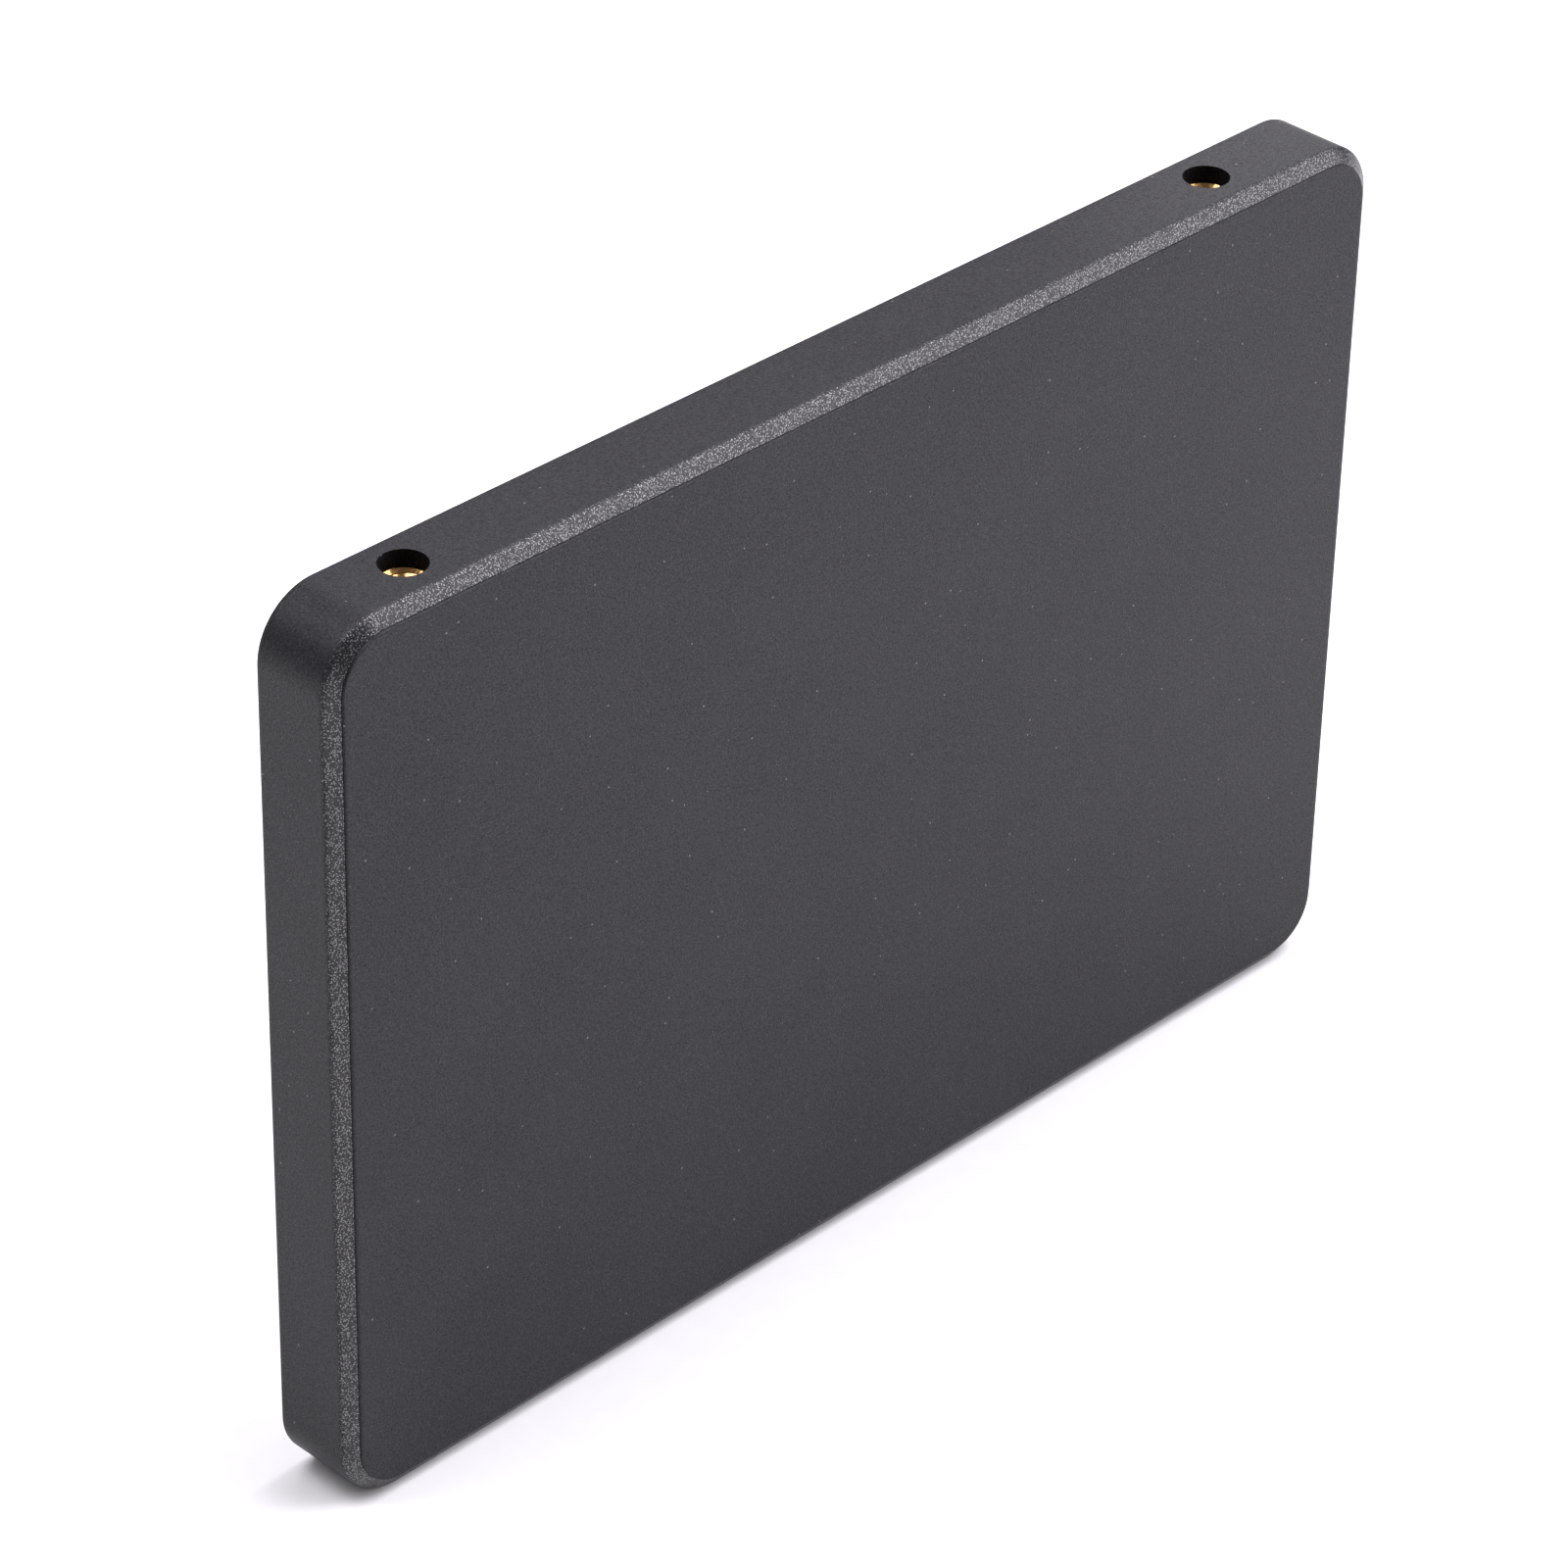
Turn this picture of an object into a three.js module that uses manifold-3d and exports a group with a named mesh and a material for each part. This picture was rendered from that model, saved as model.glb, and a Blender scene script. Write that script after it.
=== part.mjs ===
// A 2.5-inch solid state drive, 7 mm high, with a moulded plastic case and a serial ATA connector.
//
// The drive is modelled lying on its base, label face up, and the last group stands it on a long edge:
//   x  along the length, with the connector at the +x end
//   y  across the width, centred
//   z  up from the base (0) to the label face (HEIGHT)
// After standing up, +X is still the connector end, -Y is the label side and +Z is up.
// Sizes are in millimetres.

import * as THREE from "three";
import { mergeVertices } from "three/addons/utils/BufferGeometryUtils.js";
import Module from "manifold-3d";

const wasm = await Module();
wasm.setup();

// ---------------------------------------------------------------- driving dimensions

// Outside of the case: the 2.5-inch form factor.
const LENGTH = 100.45;
const WIDTH = 69.85;
const HEIGHT = 7.0;
const CORNER_RADIUS = 4.8;
const CHAMFER_INSET = 1.05; // grained chamfer round the label face, measured across the face
const CHAMFER_DEPTH = 0.8; // from the label face down to the chamfer's outer edge
const PANEL_STEP = 0.2; // the label face is a panel that stands this far above the chamfer
const PANEL_LEDGE = 0.05; // flat strip between the chamfer and the panel

// Walls and the gaps between pieces that touch on the real drive.
const WALL = 1.3;
const FACE_THICKNESS = 1.2;
const LID_THICKNESS = 1.0;
const FIT_GAP = 0.2;
const SOLDER_GAP = 0.05;
const CORNER_SEGMENTS = 8;
const HOLE_SEGMENTS = 32;
const OVERSHOOT = 1.0; // how far a cutter runs past the face that it cuts through
const OVERLAP = 0.5; // how far a joined feature is sunk into its neighbour

// Mounting holes, measured from the connector end and from the base, as the form factor sets them.
const HOLE_STATIONS = [14.0, 90.6];
const SIDE_HOLE_HEIGHT = 3.0;
const BASE_HOLE_INSET = 4.07;
const CLEARANCE_RADIUS = 1.7;
const THREAD_RADIUS = 1.25;
const THREAD_LEAD_IN = 0.4;
const BASE_THREAD_DEPTH = 3.4; // the side thread goes right through the block

// Brass nut blocks, each in a pocket of the front cover.
const BLOCK_LENGTH = 6.0;
const BLOCK_WIDTH = 5.0;
const BLOCK_SETBACK = 1.4; // from the side of the case to the block
const POCKET_WALL = 1.0;

// Circuit board and what stands on it.
const BOARD_BOTTOM = 3.5;
const BOARD_THICKNESS = 0.8;
const BOARD_START = -12.0;
const BOARD_END = 40.7;
const BOARD_WIDTH = 53.0;
const BOARD_SCREWS = [[-8.0, -22.0], [-8.0, 22.0]];
const BOSS_RADIUS = 2.5;
const SCREW_RADIUS = 0.8;
const SCREW_HEAD_RADIUS = 1.8;
const SCREW_HEAD_HEIGHT = 0.8;
const SCREW_LENGTH = 2.1;
const SCREW_SLOT_WIDTH = 0.4;
const LOCK_THICKNESS = 0.5; // the tin locks go through slots in the board, one at each connector end
const LOCK_LENGTH = 1.6;
const LOCK_START = 2.4;
const LOCK_ABOVE_BOARD = 0.3;

// Serial ATA connector: seven data contacts, a gap of five pitches, fifteen power contacts.
const PITCH = 1.27;
const DATA_CONTACTS = 7;
const POWER_CONTACTS = 15;
const SEGMENT_GAP = 5 * PITCH;
const CONNECTOR_CENTRE = 4.8; // across the drive, from its centre line
const CONNECTOR_WIDTH = 42.0;
const TONGUE_MARGIN = 1.4; // from the last contact's centre to the tongue's end
const TONGUE_THICKNESS = 1.23;
const TONGUE_LENGTH = 5.0;
const TONGUE_SETBACK = 0.3; // from the case's end to the tongue's tip
const BLOCK_DEPTH = 4.0;
const CONTACT_WIDTH = 0.84;
const CONTACT_THICKNESS = 0.18;
const CONTACT_TIP = 0.5; // bare plastic between the contact and the tongue's tip
const CONTACT_TAIL = 3.0; // from the housing's back along the board
const CONTACT_RAMP = 0.5;
const CONTACT_EDGE = 0.04; // thickness left at the tip of the ramp
const SLOT_CLEARANCE = 0.1;
const SLOT_DEPTH = 0.4;
const POST_WIDTH = 1.6;
const POST_LOW = 2.0;
const POST_HIGH = 5.0;
const KEY_LEG_WIDTH = 0.9;
const KEY_LEG_HEIGHT = 1.4;
const EAR_LENGTH = 4.0;
const LOCK_SLOT_LOW = 2.2;
const WINDOW_MARGIN = 0.5;

// ---------------------------------------------------------------- derived places

const HALF_LENGTH = LENGTH / 2;
const HALF_WIDTH = WIDTH / 2;
const CEILING = HEIGHT - FACE_THICKNESS;
const BOARD_TOP = BOARD_BOTTOM + BOARD_THICKNESS;
const LID_INSET = WALL + FIT_GAP;
const POCKET_BOTTOM = LID_THICKNESS + FIT_GAP;
const BLOCK_TOP = CEILING - FIT_GAP;
const CONTACT_SPAN = (DATA_CONTACTS + POWER_CONTACTS - 2) * PITCH + SEGMENT_GAP;
const FIRST_DATA = CONNECTOR_CENTRE - CONTACT_SPAN / 2;
const FIRST_POWER = FIRST_DATA + (DATA_CONTACTS - 1) * PITCH + SEGMENT_GAP;
const TONGUE_TIP = HALF_LENGTH - TONGUE_SETBACK;
const TONGUE_ROOT = TONGUE_TIP - TONGUE_LENGTH;
const CONNECTOR_BACK = TONGUE_ROOT - BLOCK_DEPTH;
const CONNECTOR_BOTTOM = 1.6;
const CONNECTOR_TOP = CEILING - FIT_GAP;
const CONNECTOR_LOW_SIDE = CONNECTOR_CENTRE - CONNECTOR_WIDTH / 2;
const CONNECTOR_HIGH_SIDE = CONNECTOR_CENTRE + CONNECTOR_WIDTH / 2;

const holeX = (station) => HALF_LENGTH - station;

// ---------------------------------------------------------------- materials

function finish(color, roughness, metalness = 0) {
  return new THREE.MeshStandardMaterial({ color, roughness, metalness });
}

const caseBlack = finish(0x232326, 0.55);
const lidBlack = finish(0x1f1f21, 0.6);
const connectorBlack = finish(0x111113, 0.4);
const brass = finish(0xc79a4b, 0.3, 1);
const gold = finish(0xd9b45a, 0.25, 1);
const tin = finish(0xb9bcc0, 0.35, 1);
const steel = finish(0x9a9da1, 0.35, 1);
const boardGreen = finish(0x10452f, 0.45);
const chipBlack = finish(0x18181a, 0.6);
const padGrey = finish(0x8d97a3, 0.9);
const ferrite = finish(0x3b3b3e, 0.7);
const ceramicTan = finish(0x9a7b58, 0.5);

// ---------------------------------------------------------------- shape helpers

// A rounded rectangle centred on the origin.
function roundedRectangle(length, width, radius) {
  const x = length / 2 - radius;
  const y = width / 2 - radius;
  const shape = new THREE.Shape();
  shape.absarc(x, y, radius, 0, Math.PI / 2, false);
  shape.absarc(-x, y, radius, Math.PI / 2, Math.PI, false);
  shape.absarc(-x, -y, radius, Math.PI, 1.5 * Math.PI, false);
  shape.absarc(x, -y, radius, 1.5 * Math.PI, 2 * Math.PI, false);
  shape.closePath();
  return shape;
}

// The case outline moved inward by inset, raised from low to high.
function caseSlab(inset, low, high) {
  const shape = roundedRectangle(LENGTH - 2 * inset, WIDTH - 2 * inset, CORNER_RADIUS - inset);
  const options = { depth: high - low, bevelEnabled: false, curveSegments: CORNER_SEGMENTS };
  return new THREE.ExtrudeGeometry(shape, options).translate(0, 0, low);
}

// A box between two corners.
function box(low, high) {
  const size = high.map((value, axis) => value - low[axis]);
  const middle = high.map((value, axis) => (value + low[axis]) / 2);
  return new THREE.BoxGeometry(...size).translate(...middle);
}

// A round bar along z, from low to high, at x, y.
function uprightBar(x, y, radius, low, high) {
  const bar = new THREE.CylinderGeometry(radius, radius, high - low, HOLE_SEGMENTS);
  return bar.rotateX(Math.PI / 2).translate(x, y, (low + high) / 2);
}

// The shape of a threaded hole: a bore with a conical lead-in at its mouth.
// Its mouth is at the origin and it goes down to -depth along z.
function threadedBore(depth) {
  const above = FIT_GAP;
  const mouth = THREAD_RADIUS + THREAD_LEAD_IN;
  const profile = [
    [0, -depth],
    [THREAD_RADIUS, -depth],
    [THREAD_RADIUS, -THREAD_LEAD_IN],
    [mouth + above, above],
    [0, above],
  ].map(([r, y]) => new THREE.Vector2(r, y));
  return new THREE.LatheGeometry(profile, HOLE_SEGMENTS).rotateX(Math.PI / 2);
}

// A chip or coil body: a plate with its edges broken by a small bevel.
function moulding(length, width, height, bevel) {
  const x = length / 2 - bevel;
  const y = width / 2 - bevel;
  const corners = [[-x, -y], [x, -y], [x, y], [-x, y]].map(([a, b]) => new THREE.Vector2(a, b));
  const options = {
    depth: height - 2 * bevel,
    bevelSize: bevel,
    bevelThickness: bevel,
    bevelSegments: 1,
  };
  return new THREE.ExtrudeGeometry(new THREE.Shape(corners), options).translate(0, 0, bevel);
}

// ---------------------------------------------------------------- joining and cutting

// The closed solid of a geometry whose faces share their vertices.
function solid(geometry) {
  geometry.deleteAttribute("normal");
  geometry.deleteAttribute("uv");
  const merged = mergeVertices(geometry, 1e-5);
  const mesh = new wasm.Mesh({
    numProp: 3,
    vertProperties: new Float32Array(merged.attributes.position.array),
    triVerts: new Uint32Array(merged.index.array),
  });
  return new wasm.Manifold(mesh);
}

function join(base, geometries) {
  return geometries.reduce((sum, geometry) => sum.add(solid(geometry)), base);
}

function cut(base, geometries) {
  return geometries.reduce((rest, geometry) => rest.subtract(solid(geometry)), base);
}

// A solid as a geometry again.
function geometryOf(body) {
  const mesh = body.getMesh();
  const geometry = new THREE.BufferGeometry();
  geometry.setAttribute("position", new THREE.BufferAttribute(mesh.vertProperties, 3));
  geometry.setIndex(new THREE.BufferAttribute(mesh.triVerts, 1));
  geometry.computeVertexNormals();
  return geometry;
}

const drive = new THREE.Group();

function addPiece(name, geometry, material, position = [0, 0, 0]) {
  const piece = new THREE.Mesh(geometry, material);
  piece.name = name;
  piece.position.set(...position);
  drive.add(piece);
}

// ---------------------------------------------------------------- places that repeat

// The four nut blocks: where each stands along the drive and on which side.
const BLOCK_PLACES = [
  ["nut_block_connector_upper", HOLE_STATIONS[0], 1],
  ["nut_block_connector_lower", HOLE_STATIONS[0], -1],
  ["nut_block_plain_upper", HOLE_STATIONS[1], 1],
  ["nut_block_plain_lower", HOLE_STATIONS[1], -1],
];

// The snap catches between the two covers. Each place turns a catch drawn on the +y wall
// (shift runs along that wall, reach is the wall's distance from the centre).
const LONG_WALL_CATCHES = [-22, 0, 20];
const END_WALL_CATCHES = [-15, 15];
const CATCH_PLACES = [
  ...LONG_WALL_CATCHES.map((shift) => ({ shift, reach: HALF_WIDTH, turn: 0 })),
  ...LONG_WALL_CATCHES.map((shift) => ({ shift, reach: HALF_WIDTH, turn: Math.PI })),
  ...END_WALL_CATCHES.map((shift) => ({ shift, reach: HALF_LENGTH, turn: Math.PI / 2 })),
];
const CATCH_LENGTH = 6.0;
const CATCH_REACH = 0.4;
const CLIP_THICKNESS = 0.9;
const CATCH_LOW = 1.5;
const CATCH_HIGH = 2.3;
const HOOK_HIGH = 3.2;

// The bump on the wall of the front cover that a clip hooks over.
function wallCatch({ shift, reach, turn }) {
  const wall = reach - WALL;
  const low = [shift - CATCH_LENGTH / 2, wall - CATCH_REACH, CATCH_LOW];
  const high = [shift + CATCH_LENGTH / 2, wall + WALL / 2, CATCH_HIGH];
  return box(low, high).rotateZ(turn);
}

// The clip of the back cover: a stem with a hook at its end.
function lidClip({ shift, reach, turn }) {
  const stemFace = reach - WALL - CATCH_REACH - FIT_GAP;
  const back = stemFace - CLIP_THICKNESS;
  const root = LID_THICKNESS / 2;
  const hookLow = CATCH_HIGH + FIT_GAP;
  const outline = [
    [back, root],
    [stemFace, root],
    [stemFace, hookLow],
    [stemFace + CATCH_REACH, hookLow],
    [stemFace + CATCH_REACH / 4, HOOK_HIGH],
    [back, HOOK_HIGH],
  ].map(([y, z]) => new THREE.Vector2(y, z));
  const options = { depth: CATCH_LENGTH, bevelEnabled: false };
  const clip = new THREE.ExtrudeGeometry(new THREE.Shape(outline), options);
  // The outline is drawn in y, z: turn it so that the extrusion runs along x.
  clip.rotateX(Math.PI / 2).rotateZ(Math.PI / 2);
  return clip.translate(shift - CATCH_LENGTH / 2, 0, 0).rotateZ(turn);
}

// ---------------------------------------------------------------- case

// The outside of the front cover: straight sides, the chamfer, and the panel of the label face.
function caseBody() {
  const shape = roundedRectangle(
    LENGTH - 2 * CHAMFER_INSET,
    WIDTH - 2 * CHAMFER_INSET,
    CORNER_RADIUS - CHAMFER_INSET,
  );
  const options = {
    depth: HEIGHT - CHAMFER_DEPTH + OVERSHOOT,
    bevelSize: CHAMFER_INSET,
    bevelThickness: CHAMFER_DEPTH - PANEL_STEP,
    bevelSegments: 1,
    curveSegments: CORNER_SEGMENTS,
  };
  const body = solid(new THREE.ExtrudeGeometry(shape, options).translate(0, 0, -OVERSHOOT));
  const panel = caseSlab(CHAMFER_INSET + PANEL_LEDGE, HEIGHT - FACE_THICKNESS, HEIGHT);
  const underside = box([-LENGTH, -WIDTH, -HEIGHT], [LENGTH, WIDTH, 0]);
  return cut(join(body, [panel]), [underside]);
}

// A box at one hole station, between two distances from the centre line on one side of the drive.
function sideBox(station, side, halfLength, [inner, outer], [bottom, top]) {
  const x = holeX(station);
  const [near, far] = [side * inner, side * outer].sort((a, b) => a - b);
  return box([x - halfLength, near, bottom], [x + halfLength, far, top]);
}

// The four ribs round one nut block, drawn as a solid block of plastic before its pocket is cut.
function pocketRibs(station, side) {
  const halfLength = BLOCK_LENGTH / 2 + FIT_GAP + POCKET_WALL;
  const inner = HALF_WIDTH - BLOCK_SETBACK - BLOCK_WIDTH - FIT_GAP - POCKET_WALL;
  const outer = HALF_WIDTH - WALL / 2;
  const levels = [POCKET_BOTTOM, CEILING + FACE_THICKNESS / 2];
  return sideBox(station, side, halfLength, [inner, outer], levels);
}

function pocket(station, side) {
  const halfLength = BLOCK_LENGTH / 2 + FIT_GAP;
  const inner = HALF_WIDTH - BLOCK_SETBACK - BLOCK_WIDTH - FIT_GAP;
  const outer = HALF_WIDTH - BLOCK_SETBACK + FIT_GAP;
  return sideBox(station, side, halfLength, [inner, outer], [0, CEILING]);
}

// The clearance hole through the side wall, in line with the nut block's side thread.
function sideHole(station, side) {
  const depth = BLOCK_SETBACK + FIT_GAP;
  const hole = new THREE.CylinderGeometry(CLEARANCE_RADIUS, CLEARANCE_RADIUS, 2 * depth, HOLE_SEGMENTS);
  return hole.translate(holeX(station), side * HALF_WIDTH, SIDE_HOLE_HEIGHT);
}

// The opening in the end wall that a cable's plug goes through.
function connectorWindow(low, high) {
  return box(
    [TONGUE_ROOT, CONNECTOR_LOW_SIDE - WINDOW_MARGIN, low],
    [HALF_LENGTH + OVERSHOOT, CONNECTOR_HIGH_SIDE + WINDOW_MARGIN, high],
  );
}

// The hollow moulding with its bosses, pockets and catches, and all its openings.
function frontCover() {
  const bossFoot = BOARD_TOP + FIT_GAP;
  const bossTop = CEILING + FACE_THICKNESS / 2;
  const boreRadius = SCREW_RADIUS + FIT_GAP;
  const bosses = BOARD_SCREWS.map(([x, y]) => uprightBar(x, y, BOSS_RADIUS, bossFoot, bossTop));
  const bossHoles = BOARD_SCREWS.map(([x, y]) => uprightBar(x, y, boreRadius, 0, CEILING));
  let cover = cut(caseBody(), [caseSlab(WALL, -OVERSHOOT, CEILING)]);
  cover = join(cover, bosses);
  cover = join(cover, BLOCK_PLACES.map(([, station, side]) => pocketRibs(station, side)));
  cover = join(cover, CATCH_PLACES.map(wallCatch));
  cover = cut(cover, bossHoles);
  cover = cut(cover, BLOCK_PLACES.map(([, station, side]) => pocket(station, side)));
  cover = cut(cover, BLOCK_PLACES.map(([, station, side]) => sideHole(station, side)));
  return cut(cover, [connectorWindow(-OVERSHOOT, CEILING)]);
}

// The flat back cover, set inside the side walls, with its clips and its notch at the connector.
function backCover() {
  const through = [-OVERSHOOT, LID_THICKNESS + OVERSHOOT];
  const baseHoles = BLOCK_PLACES.map(([, station, side]) => {
    const y = side * (HALF_WIDTH - BASE_HOLE_INSET);
    return uprightBar(holeX(station), y, CLEARANCE_RADIUS, ...through);
  });
  let lid = solid(caseSlab(LID_INSET, 0, LID_THICKNESS));
  lid = join(lid, CATCH_PLACES.map(lidClip));
  return cut(lid, [...baseHoles, connectorWindow(...through)]);
}

// ---------------------------------------------------------------- nut blocks

// One brass block with its side thread and its base thread, which meet inside it.
function nutBlock(side) {
  const halfLength = BLOCK_LENGTH / 2;
  const outer = HALF_WIDTH - BLOCK_SETBACK;
  const [near, far] = [side * outer, side * (outer - BLOCK_WIDTH)].sort((a, b) => a - b);
  const block = solid(box([-halfLength, near, POCKET_BOTTOM], [halfLength, far, BLOCK_TOP]));
  const sideBore = threadedBore(BLOCK_WIDTH + OVERSHOOT).rotateX((side * -Math.PI) / 2);
  const baseBore = threadedBore(BASE_THREAD_DEPTH).rotateX(Math.PI);
  sideBore.translate(0, side * outer, SIDE_HOLE_HEIGHT);
  baseBore.translate(0, side * (HALF_WIDTH - BASE_HOLE_INSET), POCKET_BOTTOM);
  return cut(block, [sideBore, baseBore]);
}

// ---------------------------------------------------------------- circuit board

const LOCK_X = CONNECTOR_BACK - EAR_LENGTH / 2;
const LOCK_YS = [CONNECTOR_LOW_SIDE + EAR_LENGTH / 2, CONNECTOR_HIGH_SIDE - EAR_LENGTH / 2];

// The slot round one lock, from low to high.
function lockSlot(y, low, high) {
  const halfLength = LOCK_LENGTH / 2 + FIT_GAP;
  const halfWidth = LOCK_THICKNESS / 2 + FIT_GAP;
  return box([LOCK_X - halfLength, y - halfWidth, low], [LOCK_X + halfLength, y + halfWidth, high]);
}

// The laminate, with its two screw holes and the slots of the locks.
function circuitBoard() {
  const halfWidth = BOARD_WIDTH / 2;
  const holeRadius = SCREW_RADIUS + FIT_GAP;
  const plate = box([BOARD_START, -halfWidth, BOARD_BOTTOM], [BOARD_END, halfWidth, BOARD_TOP]);
  const screwHoles = BOARD_SCREWS.map(([x, y]) => uprightBar(x, y, holeRadius, 0, HEIGHT));
  const lockSlots = LOCK_YS.map((y) => lockSlot(y, 0, HEIGHT));
  return cut(solid(plate), [...screwHoles, ...lockSlots]);
}

// A pan-head screw from the base side, through the board into its boss.
function boardScrew() {
  const headBreak = SCREW_HEAD_HEIGHT / 2;
  const tipBreak = SCREW_RADIUS / 2;
  const profile = [
    [0, -SCREW_HEAD_HEIGHT],
    [SCREW_HEAD_RADIUS - headBreak, -SCREW_HEAD_HEIGHT],
    [SCREW_HEAD_RADIUS, headBreak - SCREW_HEAD_HEIGHT],
    [SCREW_HEAD_RADIUS, 0],
    [SCREW_RADIUS, 0],
    [SCREW_RADIUS, SCREW_LENGTH - tipBreak],
    [SCREW_RADIUS - tipBreak, SCREW_LENGTH],
    [0, SCREW_LENGTH],
  ].map(([r, z]) => new THREE.Vector2(r, z));
  const screw = solid(new THREE.LatheGeometry(profile, HOLE_SEGMENTS).rotateX(Math.PI / 2));
  const slotHalf = SCREW_SLOT_WIDTH / 2;
  const reach = SCREW_HEAD_RADIUS / 2;
  const floor = -SCREW_HEAD_HEIGHT / 2;
  const bars = [[reach, slotHalf], [slotHalf, reach]];
  return cut(screw, bars.map(([x, y]) => box([-x, -y, -HEIGHT], [x, y, floor])));
}

// ---------------------------------------------------------------- connector

// One tongue with the leg of its L-shaped key at the low end.
function tongue(firstContact, contacts) {
  const low = firstContact - TONGUE_MARGIN;
  const high = firstContact + (contacts - 1) * PITCH + TONGUE_MARGIN;
  const root = TONGUE_ROOT - OVERLAP;
  const bar = box([root, low, BOARD_BOTTOM], [TONGUE_TIP, high, BOARD_BOTTOM + TONGUE_THICKNESS]);
  const legBottom = BOARD_BOTTOM - KEY_LEG_HEIGHT;
  const legTop = BOARD_BOTTOM + TONGUE_THICKNESS / 2;
  const leg = box([root, low, legBottom], [TONGUE_TIP, low + KEY_LEG_WIDTH, legTop]);
  return [bar, leg];
}

const dataPlaces = Array.from({ length: DATA_CONTACTS }, (_, i) => FIRST_DATA + i * PITCH);
const powerPlaces = Array.from({ length: POWER_CONTACTS }, (_, i) => FIRST_POWER + i * PITCH);

// A guide post at one end of the tongues, starting at y.
function guidePost(y) {
  return box([TONGUE_ROOT - OVERLAP, y, POST_LOW], [TONGUE_TIP, y + POST_WIDTH, POST_HIGH]);
}

// An ear that reaches under the board and takes a lock, starting at y.
function ear(y) {
  const low = [CONNECTOR_BACK - EAR_LENGTH, y, CONNECTOR_BOTTOM];
  const high = [CONNECTOR_BACK + OVERLAP, y + EAR_LENGTH, BOARD_BOTTOM - FIT_GAP];
  return box(low, high);
}

// The slot through the housing round the contact at y.
function contactSlot(y) {
  const halfWidth = CONTACT_WIDTH / 2 + SLOT_CLEARANCE;
  const low = [CONNECTOR_BACK - OVERSHOOT, y - halfWidth, BOARD_BOTTOM - SLOT_DEPTH];
  const high = [TONGUE_ROOT + SLOT_CLEARANCE, y + halfWidth, BOARD_BOTTOM];
  return box(low, high);
}

// The moulding: a back block, the two tongues, the guide posts and the ears.
function connectorHousing() {
  const low = CONNECTOR_LOW_SIDE;
  const high = CONNECTOR_HIGH_SIDE;
  const back = box([CONNECTOR_BACK, low, CONNECTOR_BOTTOM], [TONGUE_ROOT, high, CONNECTOR_TOP]);
  const whole = join(solid(back), [
    ...tongue(FIRST_DATA, DATA_CONTACTS),
    ...tongue(FIRST_POWER, POWER_CONTACTS),
    guidePost(low),
    guidePost(high - POST_WIDTH),
    ear(low),
    ear(high - EAR_LENGTH),
  ]);
  const contactSlots = [...dataPlaces, ...powerPlaces].map(contactSlot);
  const lockSlots = LOCK_YS.map((y) => lockSlot(y, LOCK_SLOT_LOW, HEIGHT));
  return cut(whole, [...contactSlots, ...lockSlots]);
}

// One contact: a strip under its tongue that runs back through the housing to the board's underside.
// Its tip turns up so that a plug slides over it.
function contact() {
  const top = BOARD_BOTTOM - SOLDER_GAP;
  const bottom = top - CONTACT_THICKNESS;
  const tip = TONGUE_TIP - CONTACT_TIP;
  const tail = CONNECTOR_BACK - CONTACT_TAIL;
  const outline = [
    [tail, bottom],
    [tip - CONTACT_RAMP, bottom],
    [tip, top - CONTACT_EDGE],
    [tip, top],
    [tail, top],
  ].map(([x, z]) => new THREE.Vector2(x, z));
  const options = { depth: CONTACT_WIDTH, bevelEnabled: false };
  const strip = new THREE.ExtrudeGeometry(new THREE.Shape(outline), options);
  return strip.rotateX(Math.PI / 2).translate(0, CONTACT_WIDTH / 2, 0);
}

// ---------------------------------------------------------------- parts on the board

// Package outlines: length, width, height and the size of the broken edges.
const CONTROLLER_SIZE = [13.0, 13.0, 1.1, 0.1];
const CACHE_SIZE = [9.0, 11.0, 1.0, 0.1];
const POWER_CHIP_SIZE = [4.0, 4.0, 0.9, 0.1];
const FUSE_SIZE = [3.0, 3.0, 0.9, 0.1];
const FLASH_SIZE = [18.0, 12.0, 1.0, 0.1];
const INDUCTOR_SIZE = [4.0, 4.0, 1.9, 0.3];
const CAPACITOR_SIZE = [2.0, 1.25, 1.25, 0.08];
const CRYSTAL_SIZE = [3.2, 2.5, 0.8, 0.1];
const PAD_MARGIN = 0.5; // from the controller's edge to the pad's
const PAD_BREAK = 0.15;

const CONTROLLER_PLACE = [20.0, -5.0];

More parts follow.
